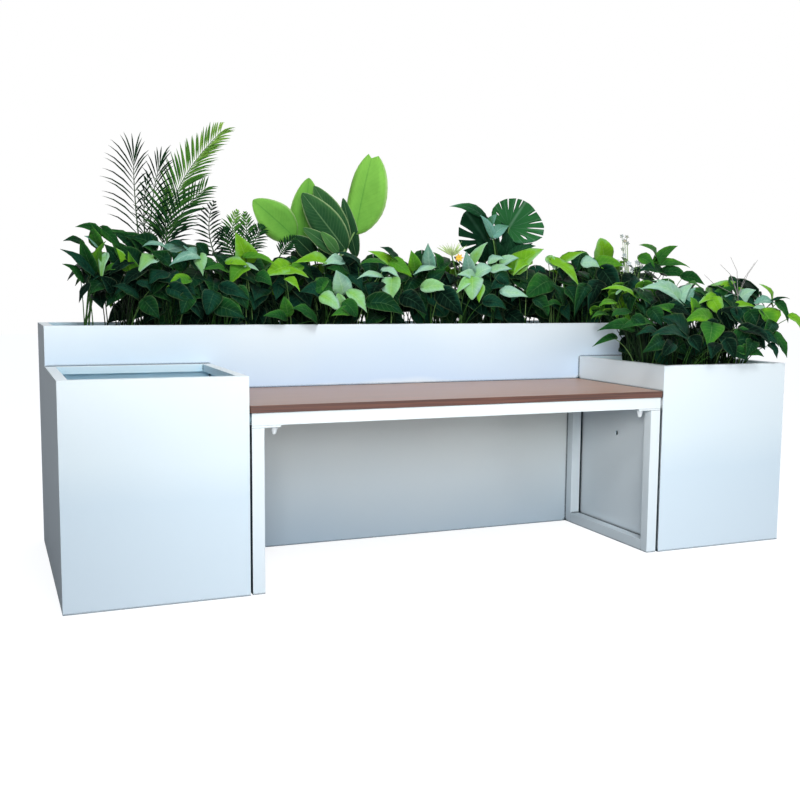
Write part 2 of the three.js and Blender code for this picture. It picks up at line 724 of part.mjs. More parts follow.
// Legs: two uprights and a floor rail on each side, a plate on every upright, and its stud and hand nut
const uprightLength = legTop;
const floorRail = tube(frameDepth - 2 * tubeSize - 2 * restGap, "y");
const plateHole = rod(studRadius + studPlay, -plateThickness - cutOverrun, cutOverrun);
for (const [side, hand] of [["left", -1], ["right", 1]]) {
  addPiece(bench, `${side}_floor_rail`, floorRail, "coat", hand * endTubeX, frameCentreY, tubeSize / 2);
  for (const [end, y] of [["front", frontTubeY], ["rear", rearTubeY]]) {
    const upright = tube(uprightLength, "z");
    addPiece(bench, `${side}_leg_${end}`, upright, "coat", hand * endTubeX, y, uprightLength / 2);
    const nutX = hand * (frameHalf - nutFromFrameEnd);
    const plateX = hand * (frameHalf - plateLength / 2);
    const plate = post(plateLength, tubeSize, -plateThickness, 0)
      .translate([plateX - nutX, 0, 0])
      .subtract(plateHole);
    addPiece(bench, `${side}_leg_plate_${end}`, plate, "coat", nutX, y, plateTop);
    addPiece(bench, `${side}_stud_${end}`, stud(), "steel", nutX, y, railBottom + tubeWall);
    addPiece(bench, `${side}_hand_nut_${end}`, handNut(), "nut", nutX, y, plateBottom - restGap);
  }
}

// Tall plants in the long planter: places along it from its middle, as shares of its width
const rearMat = matLevels(rearHeight);
const crownAt = (placeShare, y) => ({ x: placeShare * overallWidth, y, size: crownSize });
const crownShares = { palm: -0.35, fern: -0.256, banana: -0.1, flower: 0.113, monstera: 0.201, sprig: 0.418 };
const crowns = {
  palm: crownAt(crownShares.palm, tallPlantDepth),
  fern: crownAt(crownShares.fern, fernDepth),
  banana: crownAt(crownShares.banana, tallPlantDepth),
  flower: crownAt(crownShares.flower, -tallPlantDepth),
  monstera: crownAt(crownShares.monstera, tallPlantDepth),
  sprig: crownAt(crownShares.sprig, -tallPlantDepth),
};
const inCrown = ({ x, y, size }, shareX) => vector(x + shareX * size, y, rearMat.middle);

// Fronds: where the stalk's foot stands on the crown, its bend and its tip, as shares of the plant's height
const footDepthShare = 0.4; // of the crown's size, from its middle to the first and last foot
function frondPlant({ crown, height, leaflet, frondShares, bareShare, stalk }) {
  const fronds = frondShares.map(([footShare, bendShare, bendUpShare, tipShare, tipUpShare, lean], i) => {
    const footX = footShare * crown.size;
    const footY = mix(-footDepthShare, footDepthShare, i / (frondShares.length - 1)) * crown.size;
    return frondSolid({
      bend: new THREE.Vector2(bendShare * height - footX, bendUpShare * height),
      tip: new THREE.Vector2(tipShare * height - footX, tipUpShare * height),
      leaflet,
      bareShare,
      stalk,
      lean,
    }).translate([crown.x + footX, crown.y + footY, rearMat.middle]);
  });
  return joined([crownSolid(crown, rearHeight), ...fronds]);
}
const palmFrondShares = [
  [0.35, 0.1, 0.45, 0.25, 0.69, -0.06],
  [0, -0.01, 0.5, 0.045, 0.87, -0.03],
  [0.3, 0.06, 0.82, 0.36, 1, 0],
  [-0.3, -0.11, 0.45, -0.085, 0.89, 0.05],
];
const fernFrondShares = [
  [-0.2, -0.18, 0.5, -0.26, 0.72, -0.1],
  [0, 0.02, 0.5, 0.1, 0.86, -0.05],
  [-0.3, -0.12, 0.5, 0.0, 0.98, 0],
  [0.3, 0.16, 0.5, 0.28, 0.8, 0.05],
];
const palm = frondPlant({
  crown: crowns.palm,
  height: palmHeight,
  leaflet: palmLeaflet,
  frondShares: palmFrondShares,
  bareShare: 0.36,
  stalk: palmStalkWidth,
});
const fern = frondPlant({
  crown: crowns.fern,
  height: fernHeight,
  leaflet: fernLeaflet,
  frondShares: fernFrondShares,
  bareShare: 0.4,
  stalk: fernStalkWidth,
});

// Banana leaves: foot, blade's base and tip, and the blade's width, as shares of height and width
const bananaShares = [
  [-0.4, -0.21, 0.52, -0.41, 0.73, 0.7, 0.02],
  [-0.2, -0.12, 0.47, -0.1, 0.86, 0.76, 0.07],
  [0, 0.06, 0.46, -0.13, 0.78, 0.78, -0.07],
  [0.2, 0.12, 0.5, -0.06, 0.83, 0.66, 0.0],
  [0.3, 0.15, 0.52, 0.27, 1, 1, 0.02],
  [-0.3, 0.03, 0.42, -0.12, 0.59, 0.5, -0.12],
  [0.4, 0.18, 0.42, 0.12, 0.76, 0.36, 0.1],
];
function bananaPlant(crown) {
  const place = (acrossShare, backShare, upShare) =>
    vector(
      crown.x + acrossShare * bananaHeight,
      crown.y + backShare * bananaHeight,
      rearMat.middle + upShare * bananaHeight,
    );
  const leaves = bananaShares.map((leafShares) => {
    const [footShare, baseShare, baseUpShare, tipShare, tipUpShare, widthShare, backShare] = leafShares;
    const base = place(baseShare, backShare / 2, baseUpShare);
    const tip = place(tipShare, backShare, tipUpShare);
    return leafSolid({
      root: inCrown(crown, footShare),
      base,
      tip,
      facing: vector(0, -1, 0.2),
      width: bananaLeafWidth * widthShare,
      stem: bananaStalkWidth,
      blade: longBlade,
    });
  });
  return joined([crownSolid(crown, rearHeight), ...leaves]);
}

// Monstera: a stalk to each round slit blade; where it stands, its width, tilt and turn
const monsteraShares = [
  [0.12, 0.75, 1, -14, -20, -0.06],
  [-0.42, 0.82, 0.78, -8, 118, 0.08],
  [-0.1, 0.84, 0.5, -35, 170, 0.16],
  [0.2, 0.6, 0.42, 20, -80, -0.16],
];
const stalkRingShares = [0, 0.5, 0.99];
function monsteraPlant(crown) {
  const parts = [crownSolid(crown, rearHeight)];
  monsteraShares.forEach(([acrossShare, upShare, widthShare, tilt, turn, backShare]) => {
    const joint = vector(
      crown.x + acrossShare * monsteraHeight,
      crown.y + backShare * monsteraHeight,
      rearMat.middle + upShare * monsteraHeight,
    );
    const width = monsteraLeafWidth * widthShare;
    const blade = slitBlade(width, tilt, turn).translate(joint.toArray());
    const foot = vector(crown.x + (acrossShare * crown.size) / 2, crown.y, rearMat.middle);
    const along = joint.clone().sub(foot);
    const side = vector(1, 0, 0);
    const past = joint.clone().addScaledVector(along, (2 * stemWidth) / along.length());
    const rings = stalkRingShares.map((share) => {
      const centre = foot.clone().lerp(joint, share);
      return ring(centre, side, along, monsteraStalkWidth, monsteraStalkWidth);
    });
    parts.push(blade, ringLoft(rings, past));
  });
  return joined(parts);
}

// Flower: narrow leaves in a rosette round a stalk with a round head
const rosetteCount = 7;
const rosetteShares = { baseOut: 0.08, baseUp: 0.5, tipOut: 0.26, tipUp: 0.42 }; // of the plant's height
function flowerPlant(crown) {
  const parts = [crownSolid(crown, rearHeight)];
  for (let i = 0; i < rosetteCount; i += 1) {
    const angle = (2 * Math.PI * i) / rosetteCount;
    const outward = vector(Math.cos(angle), Math.sin(angle), 0);
    const root = inCrown(crown, 0).addScaledVector(outward, crown.size / 4);
    const base = root.clone().addScaledVector(outward, flowerHeight * rosetteShares.baseOut);
    base.z += flowerHeight * rosetteShares.baseUp;
    const tip = base.clone().addScaledVector(outward, flowerHeight * rosetteShares.tipOut);
    tip.z += flowerHeight * rosetteShares.tipUp;
    parts.push(leafSolid({ root, base, tip, facing: outward.clone().negate(), width: rosetteLeafWidth }));
  }
  const top = vector(crown.x, crown.y, rearMat.middle + flowerHeight);
  const head = new THREE.IcosahedronGeometry(flowerRadius, 1);
  head.translate(...top.toArray());
  parts.push(solid(head), twig(inCrown(crown, 0), top, 0));
  return joined(parts);
}

// Thin bare stem that leans over towards its tip
const twigRingShares = [0, 0.5, 0.85];
const twigTipShare = 0.5; // of the stem's width, left at the tip
function twig(root, tip, leanShare) {
  const along = new THREE.Vector3().subVectors(tip, root);
  const rings = twigRingShares.map((share) => {
    const centre = root.clone().lerp(tip, share);
    centre.z += along.length() * leanShare * share * (1 - share);
    const width = stemWidth * mix(1, twigTipShare, share);
    return ring(centre, vector(1, 0, 0), along, width, width);
  });
  return ringLoft(rings, tip);
}

// Blossom sprig: a stalk with side twigs, each with a bud
const twigLeanShare = 0.04;
const sprigShares = [
  [0, 1],
  [-0.1, 0.86],
  [0.11, 0.8],
  [-0.14, 0.68],
  [0.16, 0.64],
];
function sprigPlant(crown) {
  const parts = [crownSolid(crown, rearHeight)];
  for (const [acrossShare, upShare] of sprigShares) {
    const tip = vector(crown.x + acrossShare * sprigHeight, crown.y, rearMat.middle + upShare * sprigHeight);
    const bud = new THREE.IcosahedronGeometry(budRadius, 0);
    bud.translate(...tip.clone().lerp(inCrown(crown, 0), stemWidth / sprigHeight).toArray());
    parts.push(twig(inCrown(crown, acrossShare), tip, twigLeanShare), solid(bud));
  }
  return joined(parts);
}

const banana = bananaPlant(crowns.banana);
const monstera = monsteraPlant(crowns.monstera);
const flower = flowerPlant(crowns.flower);
const sprig = sprigPlant(crowns.sprig);
addPiece(rearPlanter, "palm_plant", palm, "palm");
addPiece(rearPlanter, "fern_plant", fern, "palm");
addPiece(rearPlanter, "banana_plant", banana, "banana");
addPiece(rearPlanter, "monstera_plant", monstera, "monstera");
addPiece(rearPlanter, "flower_plant", flower, "flower");
addPiece(rearPlanter, "sprig_plant", sprig, "sprig");

// Leafy bushes in the long planter; in front of its face they stay clear of the right planter's foliage
const rearHoodAngle = 1.5; // from upright to the lowest blades
const sideHoodAngle = 1.45;
const farAway = 2 * overallWidth;
const aisle = -rearDepth / 2 - unitGap / 2;
const sideFoliageLeft = sideCentreX - sideFoliageReach - 2 * pothosLeaf;
const beforeAisle = box(sideFoliageLeft, farAway, -farAway, aisle + foliageGap / 2, 0, farAway);
const rearBushes = rootMats(overallWidth, rearDepth, rearHeight, 4, Object.values(crowns));
const rearObstacles = [
  palm,
  fern,
  banana,
  monstera,
  flower,
  sprig,
  rimGuard(overallWidth, rearDepth, rearHeight),
  beforeAisle,
];
rearBushes.forEach(({ centre, half, mat }, i) => {
  const first = i === 0;
  const last = i === rearBushes.length - 1;
  const bush = planted(
    mat,
    bushLeaves({
      seed: 11 + 10 * i,
      count: rearLeafCount,
      lowX: first ? -overallWidth / 2 + rearFoliageEnd : centre - half,
      highX: last ? overallWidth / 2 - rearFoliageEnd : centre + half,
      rootHalf: half - matEdge,
      centreX: centre,
      reach: rearFoliageReach,
      hoodAngle: rearHoodAngle,
      low: rearHeight + rearFoliageRise,
      top: rearFoliageTop,
      matTop: rearMat.top,
      endLean: first || last ? 0.3 : 0,
    }),
    rearObstacles,
  );
  rearObstacles.push(bush);
  addPiece(rearPlanter, `leafy_plant_rear_${i + 1}`, bush, "pothos");
});

// Leafy bushes and twigs in the right planter, in its own frame
const sideMat = matLevels(sideHeight);
const twigCrown = { x: twigOffset, y: 2 * tallPlantDepth, size: crownSize };
const twigShares = [
  [-0.24, 0.9, -0.06],
  [-0.02, 1, 0.02],
  [0.26, 0.98, 0.04],
  [-0.06, 0.9, 0.1],
];
const twigs = joined([
  crownSolid(twigCrown, sideHeight),
  ...twigShares.map(([acrossShare, upShare, backShare]) =>
    twig(
      vector(twigCrown.x, twigCrown.y, sideMat.middle),
      vector(
        twigCrown.x + acrossShare * twigHeight,
        twigCrown.y + backShare * twigHeight,
        sideMat.middle + upShare * twigHeight,
      ),
      twigLeanShare,
    ),
  ),
]);
addPiece(rightPlanter, "twig_plant", twigs, "sprig");
const aisleFromSide = aisle - foliageGap / 2 - sideCentreY;
const behindAisle = box(-farAway, farAway, aisleFromSide, farAway, 0, farAway);
const sideObstacles = [twigs, rimGuard(sideWidth, sideDepth, sideHeight), behindAisle];
rootMats(sideWidth, sideDepth, sideHeight, 2, [twigCrown]).forEach(({ centre, half, mat }, i) => {
  const bush = planted(
    mat,
    bushLeaves({
      seed: 71 + 10 * i,
      count: sideLeafCount,
      lowX: i === 0 ? -sideFoliageReach : 0,
      highX: i === 0 ? 0 : sideFoliageReach,
      rootHalf: half - 2 * matEdge,
      centreX: centre,
      reach: sideFoliageFront,
      hoodAngle: sideHoodAngle,
      low: sideHeight + sideFoliageRise,
      top: sideFoliageTop,
      matTop: sideMat.top,
      endLean: 0.4,
    }),
    sideObstacles,
  );
  sideObstacles.push(bush);
  addPiece(rightPlanter, `leafy_plant_right_${i + 1}`, bush, "pothos");
});

export default model;
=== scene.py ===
"""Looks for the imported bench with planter: finishes, plants, floor, light and camera.

The file is laid out as an add-on and run as a script. Lengths are metres in the part's own frame.
"""

import itertools
import json
import math

import bpy
from bpy.props import FloatProperty, FloatVectorProperty, IntProperty, PointerProperty
from bpy.types import Operator, Panel, PropertyGroup
from mathutils import Matrix, Vector

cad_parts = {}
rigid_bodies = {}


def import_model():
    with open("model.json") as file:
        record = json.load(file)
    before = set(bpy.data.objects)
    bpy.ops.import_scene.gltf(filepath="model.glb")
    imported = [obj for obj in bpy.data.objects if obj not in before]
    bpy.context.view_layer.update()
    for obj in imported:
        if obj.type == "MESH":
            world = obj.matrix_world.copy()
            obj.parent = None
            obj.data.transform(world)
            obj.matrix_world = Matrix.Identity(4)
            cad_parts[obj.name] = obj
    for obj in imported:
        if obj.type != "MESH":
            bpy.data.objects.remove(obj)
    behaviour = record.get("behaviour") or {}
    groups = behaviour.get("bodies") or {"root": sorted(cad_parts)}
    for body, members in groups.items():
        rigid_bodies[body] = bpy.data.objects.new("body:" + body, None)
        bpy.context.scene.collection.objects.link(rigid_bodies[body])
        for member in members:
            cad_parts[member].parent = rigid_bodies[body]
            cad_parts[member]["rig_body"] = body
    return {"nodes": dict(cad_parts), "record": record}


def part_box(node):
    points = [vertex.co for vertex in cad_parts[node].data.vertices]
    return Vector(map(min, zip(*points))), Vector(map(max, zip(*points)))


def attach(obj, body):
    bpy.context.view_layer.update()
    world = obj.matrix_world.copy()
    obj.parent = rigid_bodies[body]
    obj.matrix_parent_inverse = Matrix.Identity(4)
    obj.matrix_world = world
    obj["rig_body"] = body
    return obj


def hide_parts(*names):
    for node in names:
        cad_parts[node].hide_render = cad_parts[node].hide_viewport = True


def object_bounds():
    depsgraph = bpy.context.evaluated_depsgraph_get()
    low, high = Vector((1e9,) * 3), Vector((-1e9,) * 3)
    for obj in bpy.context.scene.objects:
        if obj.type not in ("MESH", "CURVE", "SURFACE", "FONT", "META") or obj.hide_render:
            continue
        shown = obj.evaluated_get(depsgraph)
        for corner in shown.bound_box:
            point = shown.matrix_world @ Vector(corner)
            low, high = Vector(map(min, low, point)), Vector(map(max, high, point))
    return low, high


bl_info = {
    "name": "Planter bench looks",
    "version": (1, 0, 0),
    "blender": (4, 5, 0),
    "location": "3D View > Sidebar > Planter bench",
    "description": "Finishes, plants and stage for the packed planter bench",
    "category": "Object",
}

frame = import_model()
CAD_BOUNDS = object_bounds()
MM = 0.001
GOLDEN = 0.618034  # share of a turn whose multiples never line up

# Camera of the photograph
EYE = Vector((-1.139, -2.8611, 0.7169))
YAW = math.radians(22.323)  # from +Y towards +X
PITCH = math.radians(-6.14)
ROLL = math.radians(0.47)
FOCAL = 1012.8  # pixels
PICTURE = 800  # pixels, both ways
FORWARD = Vector((math.sin(YAW) * math.cos(PITCH), math.cos(YAW) * math.cos(PITCH), math.sin(PITCH)))
LEVEL = Vector((math.cos(YAW), -math.sin(YAW), 0))
UPRIGHT = LEVEL.cross(FORWARD)
RIGHT = LEVEL * math.cos(ROLL) + UPRIGHT * math.sin(ROLL)
UP = UPRIGHT * math.cos(ROLL) - LEVEL * math.sin(ROLL)
ABOVE = Vector((0, 0, 1))


def linear(code):
    """The linear colour of an sRGB hex value."""
    parts = [int(code[i : i + 2], 16) / 255 for i in (1, 3, 5)]
    return tuple(c / 12.92 if c <= 0.04045 else ((c + 0.055) / 1.055) ** 2.4 for c in parts)


def mix(low, high, share):
    """The number that lies at a share of the way from low to high."""
    return low + (high - low) * share


def chance(index, salt):
    """A number from 0 to 1 that looks random and is the same in each run."""
    return (math.sin(index * 12.9898 + salt * 78.233) * 43758.5453) % 1


def dice(index, seed):
    """A function that gives another number between two limits at each call, the same ones in each run."""
    salts = itertools.count(seed + 1)
    return lambda low, high: mix(low, high, chance(index, next(salts)))


def through(u, v, depth):
    """The point at y = depth that the camera shows at pixel (u, v)."""
    ray = FORWARD * FOCAL + RIGHT * (u - PICTURE / 2) - UP * (v - PICTURE / 2)
    return EYE + ray * ((depth - EYE.y) / ray.y)


def pixel_size(point):
    """How long one pixel of the photograph is at a point."""
    return (point - EYE).dot(FORWARD) / FOCAL


def on_curve(start, knee, end, share):
    """The point at a share of the smooth curve that leaves start towards knee and reaches end from it."""
    return start.lerp(knee, share).lerp(knee.lerp(end, share), share)


def bent(start, end, steps=6):
    """Points of a stem that leaves its root upright and bends over to its end."""
    knee = start.lerp(end, 0.55) + ABOVE * (0.12 * (end - start).length)
    knee = Vector((mix(start.x, knee.x, 0.6), mix(start.y, knee.y, 0.6), knee.z))
    return [on_curve(start, knee, end, i / steps) for i in range(steps + 1)]


# Blade outlines: power along the leaf, power of the half wave, and how far the lobes reach back
OUTLINES = {
    "heart": (0.52, 1.05, 0.16),
    "round": (0.62, 0.62, 0.1),
    "paddle": (0.8, 0.62, 0.02),
    "broad": (0.86, 0.58, 0.07),
    "lance": (0.75, 1.0, 0),
}

# Usual form of a blade. Lengths are shares of its own size.
BLADE = dict(
    rows=8,  # rows of faces from joint to tip
    thin=False,  # whether each half has one column of faces in place of two
    turn=0,  # turn about its length, in radians
    arch=0.12,  # how far its middle bows towards its face
    rise=0,  # and straight up
    fold=0.25,  # how far its halves stand up from the midrib
    curl=0.2,  # and bend back at the margin
    wave=0.12,  # height of the waves in its margin
    lean=0,  # how much wider one half is
    notch=0,  # depth of the notch at its tip
    # The next two paint shade: one half darker as if the other were lit, and the joint end darker than the
    # tip
    sides=0,  # change of tone from one side to the other
    fade=0,  # and from joint to tip
)
NOTCHED_END = 0.965  # share of the outline that a notched blade keeps

# Usual form of a frond
FROND = dict(
    bare=0.16,  # share of its stalk without leaflets
    rise=0.08,  # upward bow of a leaflet
    swell=(0.3, 0.95),  # where along half a wave the leaflets' length starts and ends
    width=5.5 * MM,  # of a leaflet
    closing=1,  # how late the leaflets close up to the stalk, as a power of the share along it
    left=(1, 1),  # share of their length that the left ones have at both ends
    right=(1, 1),
)

# Leaf colours along the ramp of the leaf materials. navy, jade and dark are the leaves' own dark greens
# darkened further as painted shade, shade is painted shade, and pale, silver and sea are painted reflections
# of the sky
TONES = {
    "navy": 0.0,
    "jade": 0.1,
    "dark": 0.2,
    "shade": 0.3,
    "mid": 0.42,
    "fresh": 0.55,
    "bright": 0.68,
    "pale": 0.8,
    "silver": 0.9,
    "sea": 1.0,
}


class Foliage:
    """Blades or stems of one plant, gathered with the values that its material reads."""

    def __init__(self, clear=None):
        self.points, self.faces, self.places, self.tones = [], [], [], []
        self.clear = clear

    def row(self, points, places, tones):
        """Adds a row of points, and gives back their numbers."""
        first = len(self.points)
        self.points += points
        self.places += places
        self.tones += tones
        return range(first, first + len(points))

    def join(self, low, high, gaps=()):
        """Fills the strip between two rows with faces, but for its gaps."""
        for i in range(len(low) - 1):
            if i not in gaps:
                self.faces.append((low[i], low[i + 1], high[i + 1], high[i]))

    def blade(self, base, tip, width, facing, tone, shape="heart", **form):
        """A leaf blade from its joint to its tip, as a thin sheet that the solidify step thickens."""
        form = {**BLADE, **form}
        power, swell, lobe = OUTLINES[shape]
        along = tip - base
        length = along.length
        along.normalize()
        side = along.cross(facing).normalized()
        side.rotate(Matrix.Rotation(form["turn"], 3, along))
        face = side.cross(along)
        columns = (-1, 0, 1) if form["thin"] else (-1, -0.55, 0, 0.55, 1)
        phase = chance(len(self.points), 3) * math.tau
        last = None
        for i in range(form["rows"] + 1):
            share = (1 - math.cos(math.pi * i / form["rows"])) / 2
            at = share * (NOTCHED_END if form["notch"] else 1)
            half = width / 2 * max(0.02, math.sin(math.pi * at**power) ** swell if 0 < at < 1 else 0)
            bulge = 4 * at * (1 - at) * length
            points, places, tones = [], [], []
            for across in columns:
                reach = abs(across)
                lift = form["fold"] * reach - form["curl"] * reach**2
                lift += form["wave"] * reach**2 * math.sin(3 * math.pi * at + phase + across)
                back = lobe * reach**1.5 * (1 - at) ** 3 + form["notch"] * (1 - reach) * at**12
                point = base + along * (length * (at - back))
                point += side * (half * across * (1 + form["lean"] * math.copysign(1, across)))
                point += face * (half * lift + form["arch"] * bulge)
                point += ABOVE * (form["rise"] * bulge)
                points.append(self.clear(point) if self.clear else point)
                places.append((across / 2 + 0.5, at))
                # Painted shade across the blade and from joint to tip
                tones.append(tone + form["sides"] * across + form["fade"] * (share - 0.5))
            row = self.row(points, places, tones)
            if last:
                self.join(last, row)
            last = row

    def fan(self, base, tip, facing, tone, outline, slits, sides, fade):
        """A split leaf, whose veins spread round its joint.

        outline gives its radius by the angle from the midrib, in degrees, with the midrib's length as 1.
        slits gives the angle, width in degrees, start and end of each gap between two veins.
        """
        along = tip - base
        length = along.length
        along.normalize()
        side = along.cross(facing).normalized()
        face = side.cross(along)
        steps = 30  # rows of faces round the joint
        shut = 0.06  # width left where a slit is shut
        opening = 0.15  # share of the radius that it opens over
        rows = [(mix(outline[0][0], outline[-1][0], i / steps), 0, 1, 1) for i in range(steps + 1)]
        for angle, width, start, end in slits:
            rows = [row for row in rows if row[1] or abs(row[0] - angle) > 4]
            rows += [(angle, -width / 2, start, end), (angle, width / 2, start, end)]
        rows.sort()
        columns = (0, 0.25, 0.4, 0.5, 0.6, 0.7, 0.8, 0.9, 1)
        last, last_angle = None, None
        for angle, gap, start, end in rows:
            pairs = zip(outline, outline[1:])
            (low, low_radius), (high, high_radius) = next(pair for pair in pairs if pair[1][0] >= angle)
            radius = mix(low_radius, high_radius, (angle - low) / (high - low))
            points, places, tones = [], [], []
            for share in columns:
                opened = min(1, max(shut, (share - start) / opening)) if share < end else shut
                turn = math.radians(angle + gap * opened)
                away = radius * share
                lift = 0.16 * away * abs(math.sin(turn)) - 0.12 * away**2
                lift += 0.02 * away**2 * math.sin(5 * turn)
                way = along * math.cos(turn) + side * math.sin(turn) + face * lift / max(away, 0.01)
                points.append(self.clear(base + way * (length * away)))
                off = 0.5 * abs(math.sin(turn)) * away
                places.append((0.5 + math.copysign(off, turn), abs(angle) / 150 + 0.45 * off))
                # Painted shade across the leaf and from joint to tip
                tones.append(tone + sides * angle / 150 + fade * (share - 0.5))
            row = self.row(points, places, tones)
            gaps = []
            if angle == last_angle:
                gaps = [i for i in range(len(columns) - 1) if columns[i + 1] > start and columns[i] < end]
            if last:
                self.join(last, row, gaps)
            last, last_angle = row, angle

    def stem(self, path, thick, thin, tone, sides=5):
        """A round stem through the points of a path, thinner at its far end."""
        last = None
        for i, point in enumerate(path):
            along = (path[min(i + 1, len(path) - 1)] - path[max(i - 1, 0)]).normalized()
            side = along.cross(Vector((0.3, 1, 0.2))).normalized()
            other = along.cross(side)
            radius = mix(thick, thin, i / (len(path) - 1))
            angles = [math.tau * k / sides for k in range(sides)]
            points = [point + side * (radius * math.cos(a)) + other * (radius * math.sin(a)) for a in angles]
            ring = self.row(points, [(0.5, i / len(path))] * sides, [tone] * sides)
            if last is None:
                self.faces.append(tuple(reversed(ring)))
            else:
                for k in range(sides):
                    n = (k + 1) % sides
                    self.faces.append((last[k], last[n], ring[n], ring[k]))
            last = ring
        self.faces.append(tuple(last))

    def frond(self, stems, pixels, depth, pairs, leaflet, tones, angles, form):
        """A feather leaf: a curved stalk through three pixels, and pairs of slender leaflets."""
        form = {**FROND, **form}
        start, middle, end = [through(u, v, depth) for u, v in pixels]
        knee = middle * 2 - (start + end) / 2
        stalk = [on_curve(start, knee, end, i / 12) for i in range(13)]
        stems.stem(stalk, 2.2 * MM, 0.8 * MM, 0.1 + 0.5 * tones[1])
        for i in range(pairs):
            share = mix(form["bare"], 0.99, i / (pairs - 1))
            point = on_curve(start, knee, end, share)
            ahead, behind = [on_curve(start, knee, end, s) for s in (min(1, share + 0.02), share - 0.02)]
            along = (ahead - behind).normalized()
            side = along.cross(FORWARD).normalized()
            length = leaflet * math.sin(math.pi * mix(*form["swell"], share))
            for hand, name in ((-1, "right"), (1, "left")):
                angle = mix(*angles, share ** form["closing"]) * (0.9 + 0.2 * chance(i, 40 + hand))
                way = along * math.cos(angle) + side * (hand * math.sin(angle))
                way = (way - FORWARD * (0.25 * (chance(i, 50 + hand) - 0.3))).normalized()
                spread = 0.9 + 0.2 * chance(i, 60 + hand)
                leaflet_tip = point + way * length * spread * mix(*form[name], share)
                tone = mix(*tones, share) + 0.25 * (chance(i, 70 + hand) - 0.5)
                turn = 0.8 * (chance(i, 80 + hand) - 0.5)
                flat = dict(rows=5, thin=True, arch=0, rise=form["rise"], wave=0, turn=turn)
                self.blade(point, leaflet_tip, form["width"], -FORWARD, tone, "lance", **flat)

    def piece(self, name, material, slot, node, thickness=0):
        """Makes the mesh object, which rides with the CAD node that it replaces."""
        mesh = bpy.data.meshes.new(name)
        mesh.from_pydata(self.points, [], self.faces)
        layer = mesh.uv_layers.new(name="place")
        for loop in mesh.loops:
            layer.data[loop.index].uv = self.places[loop.vertex_index]
        mesh.attributes.new("tone", "FLOAT", "POINT").data.foreach_set("value", self.tones)
        mesh.shade_smooth()
        mesh.materials.append(material)
        made = bpy.data.objects.new(name, mesh)
        bpy.context.scene.collection.objects.link(made)
        if thickness:
            sheet = made.modifiers.new("Leaf thickness", "SOLIDIFY")
            sheet.thickness = thickness
            sheet.offset = 0
        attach(made, frame["nodes"][node]["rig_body"])
        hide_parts(node)


# Materials


def add(tree, kind, inputs=None, **settings):
    """Adds one node with its settings, and gives back its outputs.

    An input is a value, a hex colour, or another node's output, which is then linked.
    """
    node = tree.nodes.new("ShaderNode" + kind)
    stops = settings.pop("stops", ())
    if stops:
        while len(node.color_ramp.elements) < len(stops):
            node.color_ramp.elements.new(0.5)
        for element, (place, code) in zip(node.color_ramp.elements, stops):
            element.position = place
            element.color = (*linear(code), 1)
    for key, value in settings.items():
        setattr(node, key, value)
    for key, value in (inputs or {}).items():
        if isinstance(value, bpy.types.NodeSocket):
            tree.links.new(value, node.inputs[key])
        else:
            node.inputs[key].default_value = (*linear(value), 1) if isinstance(value, str) else value
    return node.outputs


def new_material(name):
    """An empty node material, and the tree to build in."""
    material = bpy.data.materials.new(name)
    material.use_nodes = True
    material.node_tree.nodes.clear()
    return material, material.node_tree


def finish_surface(tree, inputs):
    """Adds the principled shader and the output."""
    add(tree, "OutputMaterial", {"Surface": add(tree, "BsdfPrincipled", inputs)["BSDF"]})


# Painted reflection and shade in the coat's colour, by height in metres: on every side but the front, then on
# the fronts of the long planter, the square planters and the tubes. The bluer, darker low parts paint the
# floor's reflection and shade, and the long planter's blue band over the seat paints a reflection
SIDE_PAINTED_LIGHT = [(0, "#C6D0D7"), (0.3, "#DDE5E9"), (0.62, "#EAF0F2")]
LONG_PAINTED_LIGHT = [(0, "#BFD1DF"), (0.2, "#DCE4E7"), (0.36, "#FAFBF5"), (0.42, "#F6F8F5")]
LONG_PAINTED_LIGHT += [(0.46, "#C8DBF0"), (0.54, "#D4E3F0"), (0.62, "#E4EEF4")]
SQUARE_PAINTED_LIGHT = [(0, "#D7E5EF"), (0.24, "#D6E5EF"), (0.34, "#E2EEF4"), (0.5, "#EAF3F7")]
TUBE_PAINTED_LIGHT = [(0, "#DEE9F0"), (0.4, "#E9F0F2")]
PAINTED_LIGHT_HEIGHT = 0.7  # metres that each ramp of tints covers


